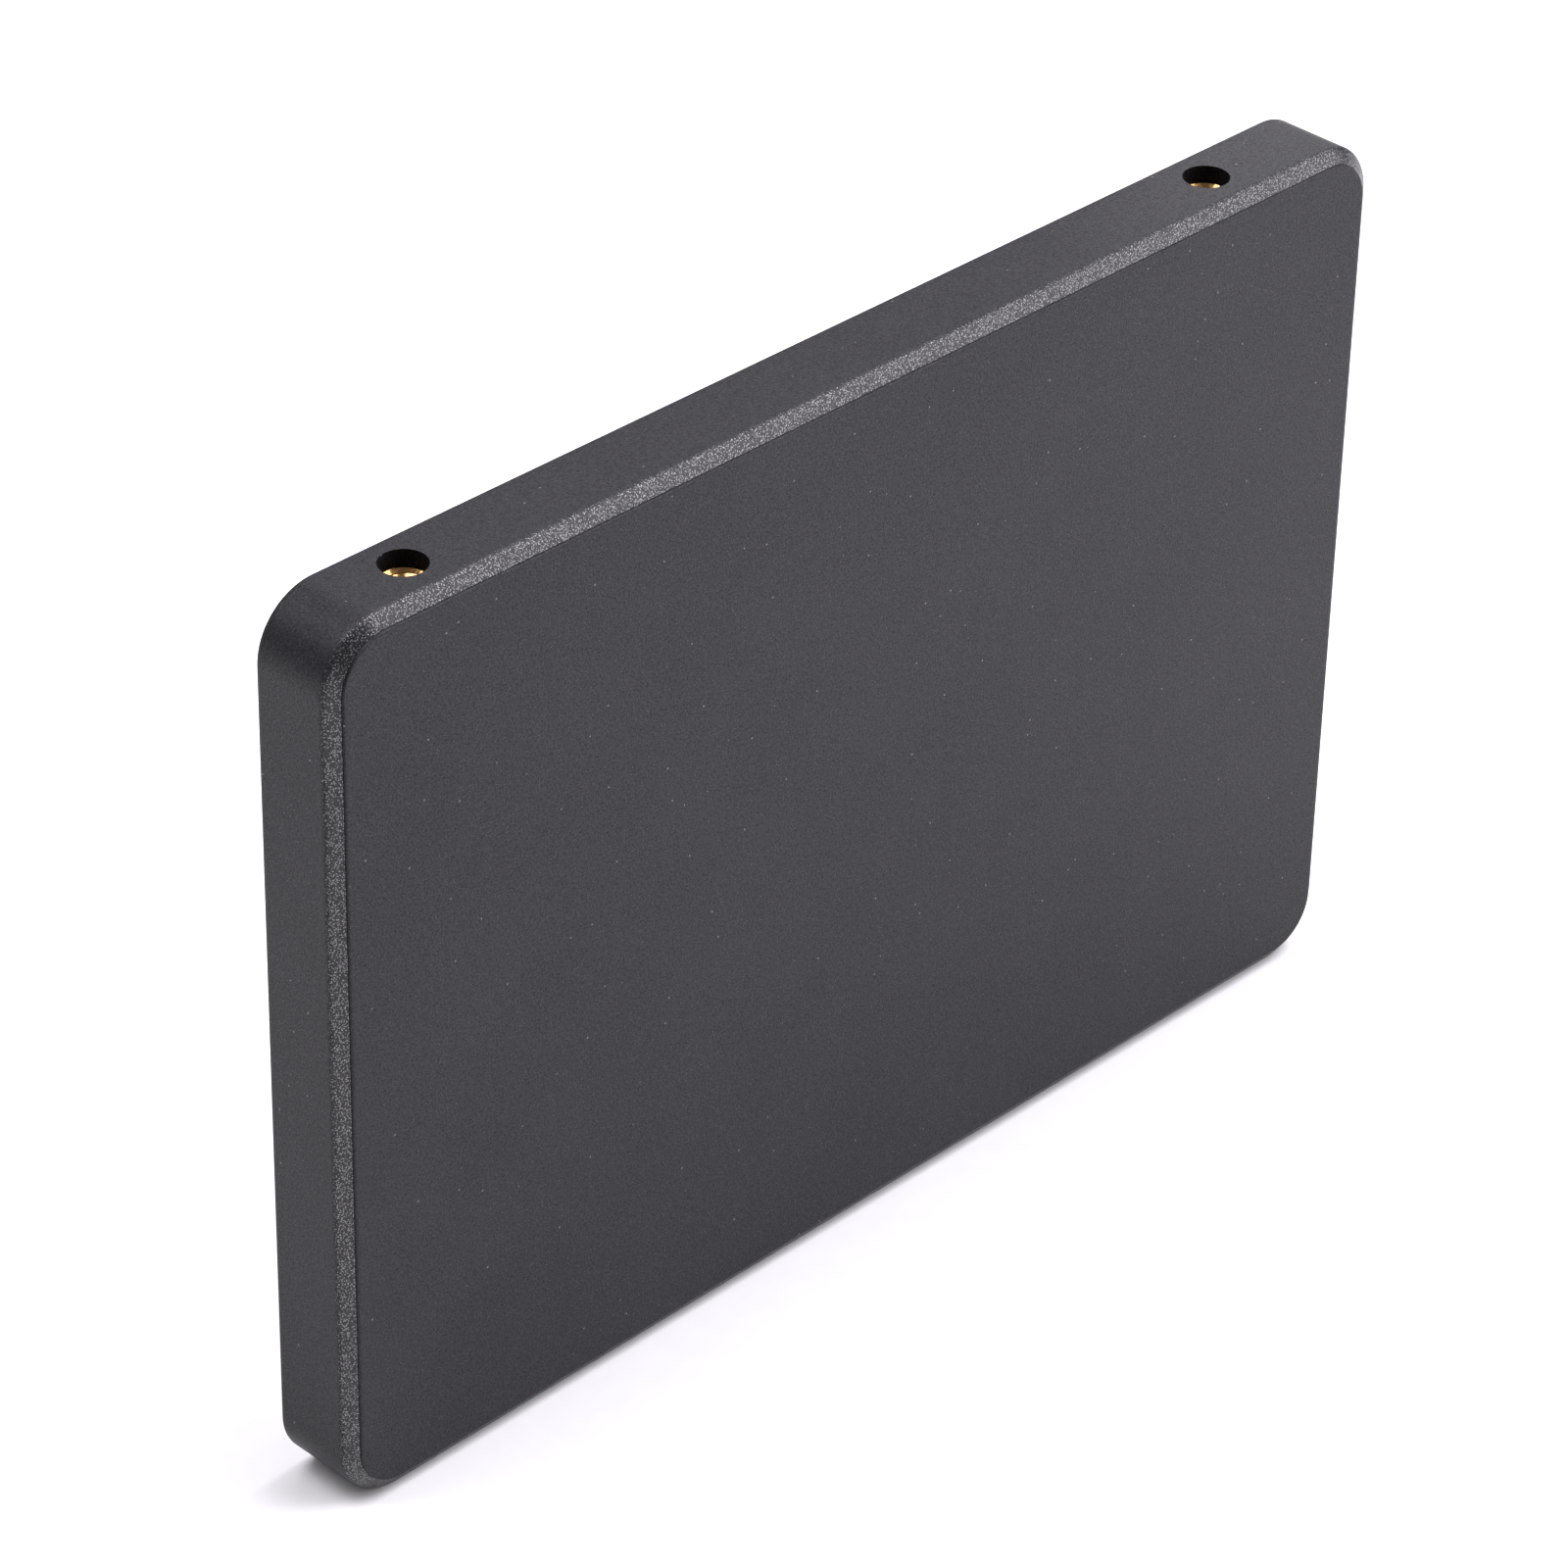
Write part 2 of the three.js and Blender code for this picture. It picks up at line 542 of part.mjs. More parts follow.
// name, place on the board, package outline, material, side of the board ("base" or "label")
const BOARD_PARTS = [
  ["controller_chip", CONTROLLER_PLACE, CONTROLLER_SIZE, chipBlack, "base"],
  ["cache_chip", [20.0, 10.5], CACHE_SIZE, chipBlack, "base"],
  ["power_chip", [31.0, -6.0], POWER_CHIP_SIZE, chipBlack, "base"],
  ["fuse_chip", [31.0, 16.5], FUSE_SIZE, chipBlack, "base"],
  ["flash_chip_1", [-1.0, -12.0], FLASH_SIZE, chipBlack, "base"],
  ["flash_chip_2", [-1.0, 12.0], FLASH_SIZE, chipBlack, "base"],
  ["flash_chip_3", [-1.0, -12.0], FLASH_SIZE, chipBlack, "label"],
  ["flash_chip_4", [-1.0, 12.0], FLASH_SIZE, chipBlack, "label"],
  ["inductor_1", [31.0, 3.0], INDUCTOR_SIZE, ferrite, "base"],
  ["inductor_2", [31.0, 9.5], INDUCTOR_SIZE, ferrite, "base"],
  ["capacitor_1", [31.0, -11.5], CAPACITOR_SIZE, ceramicTan, "base"],
  ["capacitor_2", [31.0, -15.5], CAPACITOR_SIZE, ceramicTan, "base"],
  ["capacitor_3", [25.0, 20.0], CAPACITOR_SIZE, ceramicTan, "base"],
  ["capacitor_4", [20.0, 20.0], CAPACITOR_SIZE, ceramicTan, "base"],
  ["capacitor_5", [20.0, -15.5], CAPACITOR_SIZE, ceramicTan, "base"],
  ["capacitor_6", [13.0, -15.5], CAPACITOR_SIZE, ceramicTan, "base"],
  ["capacitor_7", [10.5, 3.0], CAPACITOR_SIZE, ceramicTan, "base"],
  ["capacitor_8", [10.5, -1.0], CAPACITOR_SIZE, ceramicTan, "base"],
  ["crystal", [13.0, -20.0], CRYSTAL_SIZE, tin, "base"],
];

// The height at which a part of the given height starts, on one side of the board.
function standingHeight(height, side) {
  return side === "base" ? BOARD_BOTTOM - SOLDER_GAP - height : BOARD_TOP + SOLDER_GAP;
}

// Every part that is soldered to the board.
function addBoardParts() {
  for (const [name, place, size, material, side] of BOARD_PARTS) {
    const height = size[2];
    addPiece(name, moulding(...size), material, [...place, standingHeight(height, side)]);
  }
}

// The soft pad between the controller and the back cover.
function addThermalPad() {
  const [length, width, height] = CONTROLLER_SIZE;
  const top = standingHeight(height, "base") - FIT_GAP / 2;
  const bottom = LID_THICKNESS + FIT_GAP / 2;
  const padLength = length - 2 * PAD_MARGIN;
  const padWidth = width - 2 * PAD_MARGIN;
  const pad = moulding(padLength, padWidth, top - bottom, PAD_BREAK);
  addPiece("thermal_pad", pad, padGrey, [...CONTROLLER_PLACE, bottom]);
}

// ---------------------------------------------------------------- assembly

addPiece("front_cover", geometryOf(frontCover()), caseBlack);
addPiece("back_cover", geometryOf(backCover()), lidBlack);
for (const [name, station, side] of BLOCK_PLACES) {
  addPiece(name, geometryOf(nutBlock(side)), brass, [holeX(station), 0, 0]);
}
addPiece("circuit_board", geometryOf(circuitBoard()), boardGreen);
BOARD_SCREWS.forEach(([x, y], i) => {
  addPiece(`board_screw_${i + 1}`, geometryOf(boardScrew()), steel, [x, y, BOARD_BOTTOM - FIT_GAP]);
});
addPiece("connector_housing", geometryOf(connectorHousing()), connectorBlack);
dataPlaces.forEach((y, i) => addPiece(`data_contact_${i + 1}`, contact(), gold, [0, y, 0]));
powerPlaces.forEach((y, i) => addPiece(`power_contact_${i + 1}`, contact(), gold, [0, y, 0]));
LOCK_YS.forEach((y, i) => {
  const low = [-LOCK_LENGTH / 2, -LOCK_THICKNESS / 2, 0];
  const high = [LOCK_LENGTH / 2, LOCK_THICKNESS / 2, BOARD_TOP + LOCK_ABOVE_BOARD - LOCK_START];
  addPiece(`board_lock_${i + 1}`, box(low, high), tin, [LOCK_X, y, LOCK_START]);
});
addBoardParts();
addThermalPad();

// Stand the drive on its long edge: the label side faces -Y and the base faces +Y.
drive.rotation.x = Math.PI / 2;
drive.position.set(0, HEIGHT / 2, WIDTH / 2);

const solidStateDrive = new THREE.Group();
solidStateDrive.add(drive);

export default solidStateDrive;
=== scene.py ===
"""A 2.5-inch solid state drive in a moulded black plastic case, standing on its long edge.

The drive is modelled lying on its base, label face up, with x along its length, y across its width
and z up from the base, and each finished piece is then stood up into the frame's axes. Sizes are in
metres.
"""

import logging
import math
from dataclasses import dataclass, field
from enum import Enum
from functools import partial
from typing import Iterable

import bmesh
import bpy
from bmesh.types import BMEdge, BMesh, BMFace
from bpy.types import Material, NodeSocket, NodeTree, Object
from mathutils import Matrix, Vector

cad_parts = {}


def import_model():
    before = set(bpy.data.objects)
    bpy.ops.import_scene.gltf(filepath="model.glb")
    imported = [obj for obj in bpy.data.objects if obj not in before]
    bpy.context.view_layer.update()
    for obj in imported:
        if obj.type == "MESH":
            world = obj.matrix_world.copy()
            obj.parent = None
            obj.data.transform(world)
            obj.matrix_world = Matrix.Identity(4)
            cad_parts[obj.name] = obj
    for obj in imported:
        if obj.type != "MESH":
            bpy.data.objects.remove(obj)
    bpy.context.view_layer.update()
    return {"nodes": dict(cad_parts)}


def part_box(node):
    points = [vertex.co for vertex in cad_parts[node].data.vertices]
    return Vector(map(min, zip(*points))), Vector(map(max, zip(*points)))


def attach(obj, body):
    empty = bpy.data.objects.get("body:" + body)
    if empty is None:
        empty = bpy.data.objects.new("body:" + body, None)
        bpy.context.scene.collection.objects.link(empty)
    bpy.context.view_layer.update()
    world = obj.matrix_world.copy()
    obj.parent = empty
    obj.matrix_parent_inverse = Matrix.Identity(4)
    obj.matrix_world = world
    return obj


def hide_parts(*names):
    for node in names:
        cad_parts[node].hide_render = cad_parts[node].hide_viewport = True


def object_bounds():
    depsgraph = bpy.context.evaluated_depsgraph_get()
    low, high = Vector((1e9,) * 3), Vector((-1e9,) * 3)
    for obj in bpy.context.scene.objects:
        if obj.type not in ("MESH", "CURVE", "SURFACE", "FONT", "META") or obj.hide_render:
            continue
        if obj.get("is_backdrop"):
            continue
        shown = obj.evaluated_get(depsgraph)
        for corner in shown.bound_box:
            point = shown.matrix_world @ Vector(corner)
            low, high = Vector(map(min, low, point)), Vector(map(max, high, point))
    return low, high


MM = 0.001
BODY = "root"

GRAIN = "chamfer_grain"  # vertex attribute: 1 on the coarse-grained chamfer, 0 on smooth plastic
NOISE_SPAN = (0.3, 0.7)  # nearly all of a noise's values
NOISE_ROUGHNESS = 0.55  # strength of a noise's finer layers
STUDIO_TINT = (1.0, 0.975, 1.03)  # a faint cool pink that black plastic picks up from the lamps

SAME = 1e-7  # points closer than this are one point
LEVEL = 0.01 * MM  # an edge this close to a height lies at it
CLEAR = 1.0 * MM  # how far a cutter stands out of what it cuts
SLOPE = 0.3  # radians: faces that meet at more than this aren't steps of one rounding
SQUARE = 1.0  # radians: faces that meet at more than this are about square to each other
HOLE_SIDES = 64
BLOCK_STEPS = 2  # steps in the rounded edges of a block

log = logging.getLogger("drive")


# ---------------------------------------------------------------- colours and nodes


class Kind(Enum):
    """The kinds of node that the finishes are made of."""

    PLACE = "ShaderNodeTexCoord"
    ATTRIBUTE = "ShaderNodeAttribute"
    MAPPING = "ShaderNodeMapping"
    NOISE = "ShaderNodeTexNoise"
    CELLS = "ShaderNodeTexVoronoi"
    BRICKS = "ShaderNodeTexBrick"
    RANGE = "ShaderNodeMapRange"
    MATH = "ShaderNodeMath"
    GREY = "ShaderNodeCombineColor"
    MIX = "ShaderNodeMix"
    BUMP = "ShaderNodeBump"


def linear(hex_colour: str) -> tuple[float, float, float, float]:
    """Turns an sRGB hex colour into the linear colour that a shader takes.

    Args:
        hex_colour: Six hex digits, such as "2a2a2c".

    Returns:
        Linear red, green, blue and an alpha of 1.
    """
    channels = [int(hex_colour[i : i + 2], 16) / 255 for i in (0, 2, 4)]
    curved = [c / 12.92 if c <= 0.04045 else ((c + 0.055) / 1.055) ** 2.4 for c in channels]
    return (*curved, 1.0)


def add_node(
    tree: NodeTree,
    kind: Kind,
    inputs: dict[str | int, object] | tuple[object, ...] = (),
    output: str | int = 0,
    **settings: object,
) -> NodeSocket:
    """Adds one node, with its settings, its values and the links into it.

    Args:
        tree: The material's node tree.
        kind: The kind of node.
        inputs: What each input gets, in the inputs' order or by name or number: a value, or an
            output to link.
        output: Name or number of the output that is wanted.
        settings: Attributes to set on the node.

    Returns:
        That output.
    """
    node = tree.nodes.new(kind.value)
    for name, value in settings.items():
        setattr(node, name, value)
    for key, value in inputs.items() if isinstance(inputs, dict) else enumerate(inputs):
        if isinstance(value, NodeSocket):
            tree.links.new(value, node.inputs[key])
        else:
            node.inputs[key].default_value = value
    return node.outputs[output]


# ---------------------------------------------------------------- finishes


@dataclass(frozen=True)
class Finish:
    """What all the finishes have: a name, a colour and a gloss.

    Attributes:
        name: The material's name.
        colour: sRGB hex colour.
        roughness: Roughness of the shader.
        metallic: 1 for bare metal.
        shine: Specular level of the shader; 0.5 is what the refractive index alone gives.
    """

    name: str
    colour: str
    roughness: float
    metallic: float = 0.0
    shine: float = 0.5

    def material(self) -> Material:
        """Makes the material once, and gives the same one after that.

        Returns:
            The material.
        """
        found = bpy.data.materials.get(self.name)
        if found:
            return found
        made = bpy.data.materials.new(self.name)
        made.use_nodes = True
        tree = made.node_tree
        inputs = tree.nodes["Principled BSDF"].inputs
        inputs["Base Color"].default_value = linear(self.colour)
        inputs["Roughness"].default_value = self.roughness
        inputs["Metallic"].default_value = self.metallic
        inputs["Specular IOR Level"].default_value = self.shine
        place = add_node(tree, Kind.PLACE, output="Object")
        for name, value in self.pattern(tree, place).items():
            tree.links.new(value, inputs[name])
        return made

    def pattern(self, tree: NodeTree, place: NodeSocket) -> dict[str, NodeSocket]:
        """Adds the surface's own pattern; a plain finish has none.

        Args:
            tree: The material's node tree.
            place: Object coordinates, in metres.

        Returns:
            What is linked to the shader, by the name of its input.
        """
        return {}


@dataclass(frozen=True)
class GrainedPlastic(Finish):
    """Black ABS, moulded in a tool that is finely etched, and spark-eroded on the chamfer.

    The etched faces look even and matte, with a soft sheen. The eroded chamfer is a coarse sandy
    grain whose facets catch the light one by one, so that it sparkles where a lamp shines on it.
    Its peaks are also coloured pale as a painted glint, and its pits dark as painted shade.
    Etching leaves a grain of about 0.05 mm and erosion one of about 0.1 mm, and both are drawn a
    little coarser, because finer ones would not show.

    Attributes:
        grain_glint_colour: Colour of the coarse grain's peaks, pale as a painted glint.
        pit_shade_colour: Colour of the pits between them, dark as painted shade.
        fine_grain: Size of the etched grain.
        fine_relief: Its height.
        fine_strength: Share of that height that shows.
        coarse_grain: Size of the eroded grain.
        coarse_relief: Its height.
        facet_span: Distances, in grains, over which a grain falls from its peak to the pit.
        pale_span: Heights over which the colour goes from the painted shade to the painted glint.
        glint_span: Heights over which the shine does.
        grain_shine: Specular level of the peaks.
        pit_shine: Specular level of the pits.
        grain_roughness: Roughness of the eroded grain.
        ragged_span: Heights that push the eroded grain's outline out and in.
        raggedness: How far they push it.
        mask_span: Values of the pushed attribute between which the grain starts.
        mottle: Size of the faint cloudy patches that mould flow leaves.
        mottle_swing: How far they darken and lighten the colour.
        gloss_swing: How far the etched grain takes the roughness down and up.
        shine_swing: Share by which it takes the shine down and up.
        dust_spacing: Usual distance between specks of dust, through the solid.
        dust_radius: Size of the specks.
        dust_core: Share of the radius that is fully covered.
        dust_cover: How much of the plastic they hide.
        dust_colour: Their colour.
    """

    # Painted glint on the grain's peaks and painted shade in its pits.
    grain_glint_colour: str = "3a3a3d"
    pit_shade_colour: str = "0f0f11"
    fine_grain: float = 0.16 * MM
    fine_relief: float = 0.02 * MM
    fine_strength: float = 0.6
    coarse_grain: float = 0.138 * MM
    coarse_relief: float = 0.012 * MM
    facet_span: tuple[float, float] = (0.15, 0.75)
    pale_span: tuple[float, float] = (0.1, 0.8)
    glint_span: tuple[float, float] = (0.05, 0.7)
    grain_shine: float = 2.6
    pit_shine: float = 0.45
    grain_roughness: float = 0.28
    ragged_span: tuple[float, float] = (0.0, 0.8)
    raggedness: float = 0.45
    mask_span: tuple[float, float] = (0.2, 0.8)
    mottle: float = 9.0 * MM
    mottle_swing: tuple[float, float] = (0.9, 1.12)
    gloss_swing: float = 0.05
    shine_swing: float = 0.55
    dust_spacing: float = 1.6 * MM
    dust_radius: float = 0.09 * MM
    dust_core: float = 0.6
    dust_cover: float = 0.7
    dust_colour: str = "7c7c7f"

    def pattern(self, tree: NodeTree, place: NodeSocket) -> dict[str, NodeSocket]:
        """Adds the two grains, the mottle and the dust.

        Args:
            tree: The material's node tree.
            place: Object coordinates, in metres.

        Returns:
            What is linked to the shader, by the name of its input.
        """
        add = partial(add_node, tree)
        fine_noise = {"Vector": place, "Scale": 1.0 / self.fine_grain, "Detail": 1.0}
        fine = add(Kind.NOISE, {**fine_noise, "Roughness": NOISE_ROUGHNESS}, "Fac")
        grains = {"Vector": place, "Scale": 1.0 / self.coarse_grain, "Detail": 1.0}
        coarse = add(Kind.RANGE, (add(Kind.CELLS, grains, "Distance"), *self.facet_span, 1.0, 0.0))

        # The coarse grain stops raggedly: its attribute is pushed up and down by the grain itself.
        grained = add(Kind.ATTRIBUTE, output="Fac", attribute_name=GRAIN)
        push = (-self.raggedness, self.raggedness)
        ragged = add(Kind.RANGE, (coarse, *self.ragged_span, *push))
        pushed = add(Kind.MATH, (grained, ragged), operation="ADD")
        mask = add(Kind.RANGE, (pushed, *self.mask_span, 0.0, 1.0))

        gloss = (self.roughness - self.gloss_swing, self.roughness + self.gloss_swing)
        satin = add(Kind.RANGE, (fine, *NOISE_SPAN, *gloss))
        shine = (self.shine * (1 - self.shine_swing), self.shine * (1 + self.shine_swing))
        sheen = add(Kind.RANGE, (fine, *NOISE_SPAN, *shine))
        glint = add(Kind.RANGE, (coarse, *self.glint_span, self.pit_shine, self.grain_shine))

        etching = {"Strength": self.fine_strength, "Distance": self.fine_relief, "Height": fine}
        etched = add(Kind.BUMP, etching)
        height = add(Kind.MATH, (coarse, mask), operation="MULTIPLY")
        erosion = {"Strength": 1.0, "Distance": self.coarse_relief, "Height": height}
        return {
            "Base Color": self.dusty(tree, place, self.plastic(tree, place, coarse, mask)),
            "Roughness": add(Kind.MIX, {0: mask, 2: satin, 3: self.grain_roughness}),
            "Specular IOR Level": add(Kind.MIX, {0: mask, 2: sheen, 3: glint}),
            "Normal": add(Kind.BUMP, {**erosion, "Normal": etched}),
        }

    def plastic(
        self, tree: NodeTree, place: NodeSocket, coarse: NodeSocket, mask: NodeSocket
    ) -> NodeSocket:
        """Colours the clean plastic, with painted glints and painted shade on the eroded grain.

        Args:
            tree: The material's node tree.
            place: Object coordinates, in metres.
            coarse: Height of the eroded grain, from 0 to 1.
            mask: 1 where the plastic is eroded.

        Returns:
            The colour.
        """
        add = partial(add_node, tree)
        flow = {"Vector": place, "Scale": 1.0 / self.mottle, "Detail": 3.0}
        cloudy = add(Kind.NOISE, {**flow, "Roughness": NOISE_ROUGHNESS}, "Fac")
        tone = add(Kind.RANGE, (cloudy, *NOISE_SPAN, *self.mottle_swing))
        grey = add(Kind.GREY, (tone, tone, tone))
        both = {0: 1.0, 6: linear(self.colour), 7: grey}
        plain = add(Kind.MIX, both, 2, data_type="RGBA", blend_type="MULTIPLY")
        # The eroded grain's peaks are painted pale as a painted glint, and its pits dark as painted
        # shade.
        pale = add(Kind.RANGE, (coarse, *self.pale_span, 0.0, 1.0))
        sand = {0: pale, 6: linear(self.pit_shade_colour), 7: linear(self.grain_glint_colour)}
        sandy = add(Kind.MIX, sand, 2, data_type="RGBA")
        return add(Kind.MIX, {0: mask, 6: plain, 7: sandy}, 2, data_type="RGBA")

    def dusty(self, tree: NodeTree, place: NodeSocket, clean: NodeSocket) -> NodeSocket:
        """Puts the specks of dust on the clean plastic.

        Args:
            tree: The material's node tree.
            place: Object coordinates, in metres.
            clean: Colour of the clean plastic.

        Returns:
            The colour.
        """
        add = partial(add_node, tree)
        away = add(Kind.CELLS, {"Vector": place, "Scale": 1.0 / self.dust_spacing}, "Distance")
        size = self.dust_radius / self.dust_spacing
        dust = add(Kind.RANGE, (away, size * self.dust_core, size, self.dust_cover, 0.0))
        specks = {0: dust, 6: clean, 7: linear(self.dust_colour)}
        return add(Kind.MIX, specks, 2, data_type="RGBA")


@dataclass(frozen=True)
class SpeckledFinish(Finish):
    """A plain surface whose grain shows as small changes of gloss, colour and height.

    Attributes:
        grain: Size of the grain.
        colour_swing: Share by which the colour goes down and up.
        gloss_swing: How far the roughness goes down and up.
        relief: Height of the grain.
        strength: Share of that height that shows.
    """

    grain: float = 0.3 * MM
    colour_swing: float = 0.1
    gloss_swing: float = 0.06
    relief: float = 0.01 * MM
    strength: float = 0.5

    def pattern(self, tree: NodeTree, place: NodeSocket) -> dict[str, NodeSocket]:
        """Adds the grain.

        Args:
            tree: The material's node tree.
            place: Object coordinates, in metres.

        Returns:
            What is linked to the shader, by the name of its input.
        """
        add = partial(add_node, tree)
        noise = {"Vector": place, "Scale": 1.0 / self.grain, "Detail": 2.0}
        grain = add(Kind.NOISE, {**noise, "Roughness": NOISE_ROUGHNESS}, "Fac")
        base = linear(self.colour)[:3]
        low, high = 1 - self.colour_swing, 1 + self.colour_swing
        shades = {
            0: add(Kind.RANGE, (grain, *NOISE_SPAN, 0.0, 1.0)),
            6: (*(c * low for c in base), 1.0),
            7: (*(min(1.0, c * high) for c in base), 1.0),
        }
        gloss = (self.roughness - self.gloss_swing, self.roughness + self.gloss_swing)
        bump = {"Strength": self.strength, "Distance": self.relief, "Height": grain}
        return {
            "Base Color": add(Kind.MIX, shades, 2, data_type="RGBA"),
            "Roughness": add(Kind.RANGE, (grain, *NOISE_SPAN, *gloss)),
            "Normal": add(Kind.BUMP, bump),
        }


@dataclass(frozen=True)
class SolderMask(SpeckledFinish):
    """Green solder mask over copper: glossy, with the tracks showing as lighter raised lines.

    Attributes:
        track_pitch: Distance from track to track.
        track_gap: Width of the gap between tracks, in pitches.
        track_run: Length of a straight run, in pitches.
        track_colour: Colour of the mask over the copper.
    """

    track_pitch: float = 0.5 * MM
    track_gap: float = 0.2
    track_run: float = 14.0
    track_colour: str = "1d6b48"

    def pattern(self, tree: NodeTree, place: NodeSocket) -> dict[str, NodeSocket]:
        """Adds the grain and the tracks, broken up into short runs.

        Args:
            tree: The material's node tree.
            place: Object coordinates, in metres.

        Returns:
            What is linked to the shader, by the name of its input.
        """
        upright = {"Vector": place, "Rotation": (math.pi / 2, 0, 0)}
        tracks = {
            "Vector": add_node(tree, Kind.MAPPING, upright),
            "Color1": linear(self.colour),
            "Color2": linear(self.track_colour),
            "Mortar": linear(self.colour),
            "Scale": 1.0,
            "Mortar Size": self.track_pitch * self.track_gap,
            "Brick Width": self.track_pitch * self.track_run,
            "Row Height": self.track_pitch,
        }
        colour = add_node(tree, Kind.BRICKS, tracks, "Color", offset=0.5)
        return {**super().pattern(tree, place), "Base Color": colour}


# Black ABS of the front cover: satin, and almost neutral, with a slight blue.
CASE_PLASTIC = GrainedPlastic("case_abs_etched", "1f1f22", 0.46, shine=0.205)
# The same plastic for the back cover, etched a little more: more matte.
LID_PLASTIC = GrainedPlastic("lid_abs_etched", "1d1d1f", 0.52, shine=0.24)
# The same plastic where the tool is not etched, inside the case: black, dull and without sheen,
# and coloured a darker black than the outside as painted shade in the holes, the window and the
# hollow.
SHADED_INNER_PLASTIC = GrainedPlastic("inner_abs_painted_shade", "0b0b0c", 0.7, shine=0.12)
# Glass-filled liquid crystal polymer: deep black, satin, with faint flow marks.
CONNECTOR_PLASTIC = SpeckledFinish(
    "connector_lcp_moulded", "121214", 0.38,
    grain=0.5 * MM, colour_swing=0.2, gloss_swing=0.08, relief=0.004 * MM,
)
# Free-cutting brass: warm yellow, bright, with fine turning marks.
NUT_BRASS = SpeckledFinish(
    "nut_brass_turned", "b88d58", 0.16, metallic=1.0,
    grain=0.2 * MM, colour_swing=0.12, gloss_swing=0.05, relief=0.001 * MM,
)
# Flash gold over nickel: paler than brass and very smooth.
CONTACT_GOLD = SpeckledFinish(
    "contact_gold_plated", "d9b25f", 0.22, metallic=1.0,
    grain=0.2 * MM, colour_swing=0.06, gloss_swing=0.05, relief=0.002 * MM,
)
# Matte tin: soft grey white.
TIN = SpeckledFinish(
    "tin_matte_plated", "b4b6b8", 0.4, metallic=1.0,
    grain=0.2 * MM, colour_swing=0.05, gloss_swing=0.08, relief=0.004 * MM,
)
# Nickel-plated steel: cooler and brighter than the tin.
SCREW_STEEL = SpeckledFinish(
    "screw_steel_nickel_plated", "a6a8ab", 0.3, metallic=1.0,
    grain=0.2 * MM, colour_swing=0.06, gloss_swing=0.08, relief=0.004 * MM,
)
# Glass-epoxy laminate under green solder mask.
BOARD = SolderMask(
    "board_solder_mask", "0f4a33", 0.35,
    grain=0.4 * MM, colour_swing=0.08, gloss_swing=0.05, relief=0.006 * MM,
)
# Epoxy moulding compound of the chips: charcoal, matte, faintly sandy.
CHIP_COMPOUND = SpeckledFinish(
    "chip_epoxy_moulded", "1c1c1e", 0.58,
    grain=0.15 * MM, colour_swing=0.12, gloss_swing=0.06, relief=0.008 * MM,
)
# Pressed ferrite powder: dark grey and dull.
FERRITE = SpeckledFinish(
    "coil_ferrite_pressed", "3a3a3c", 0.7,
    grain=0.2 * MM, colour_swing=0.12, gloss_swing=0.06, relief=0.012 * MM,
)
# Fired barium titanate ceramic: tan, smooth.
CAPACITOR_CERAMIC = SpeckledFinish(
    "capacitor_ceramic_fired", "9a7a57", 0.45,
    grain=0.25 * MM, colour_swing=0.06, gloss_swing=0.05, relief=0.006 * MM,
)
# Filled silicone: blue grey, soft and dull.
PAD_SILICONE = SpeckledFinish(
    "pad_silicone_filled", "8b96a2", 0.85,
    grain=0.3 * MM, colour_swing=0.08, gloss_swing=0.04, relief=0.02 * MM,
)
# Matte white paper of the studio table.
FLOOR_PAPER = SpeckledFinish(
    "floor_paper_white", "f4f4f4", 0.9,
    grain=2.0 * MM, colour_swing=0.01, gloss_swing=0.02, relief=0.01 * MM,
)


# ---------------------------------------------------------------- mesh tools


@dataclass(frozen=True)
class Extent:
    """The drive's outside sizes, taken from the frame.

    Attributes:
        length: Along x.
        width: Across the drive, which is upright once it stands.
        height: From the base to the label face.
    """

    length: float
    width: float
    height: float

    @classmethod
    def of_frame(cls) -> "Extent":
        """Measures the whole frame as loaded.

        Returns:
            Its sizes.
        """
        low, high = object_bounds()
        size = high - low
        return cls(length=size.x, width=size.z, height=size.y)

    def stand(self) -> Matrix:
        """Gives the turn and shift that stand a lying drive on its long edge."""
        lift = Matrix.Translation((0.0, self.height / 2, self.width / 2))
        return lift @ Matrix.Rotation(math.pi / 2, 4, "X")


class LongEdge(Enum):
    """The drive's two long edges; the value is the sign of y there, on the lying drive."""

    LOWER = -1
    UPPER = 1


def box_matrix(low: Iterable[float], high: Iterable[float]) -> Matrix:
    """Gives the matrix that makes a unit cube fill the space between two corners.

    Args:
        low: Lowest corner.
        high: Highest corner.

    Returns:
        The matrix for bmesh.ops.create_cube with a size of 1.
    """
    low, high = Vector(low), Vector(high)
    size = high - low
    return Matrix.Translation((low + high) / 2) @ Matrix.Diagonal((*size, 1.0))


def mesh_object(name: str, bm: BMesh) -> Object:
    """Turns a bmesh into a linked object at the origin, and frees the bmesh.

    Args:
        name: The object's name.
        bm: The finished bmesh.

    Returns:
        The new object.
    """
    mesh = bpy.data.meshes.new(name)
    bm.to_mesh(mesh)
    bm.free()
    made = bpy.data.objects.new(name, mesh)
    bpy.context.scene.collection.objects.link(made)
    return made


def settle(thing: Object) -> None:
    """Applies an object's modifiers to its mesh.

    Args:
        thing: The object, whose modifiers are then gone.
    """
    bpy.context.view_layer.update()
    graph = bpy.context.evaluated_depsgraph_get()
    mesh = bpy.data.meshes.new_from_object(
        thing.evaluated_get(graph), preserve_all_data_layers=True, depsgraph=graph
    )
    thing.modifiers.clear()
    thing.data = mesh


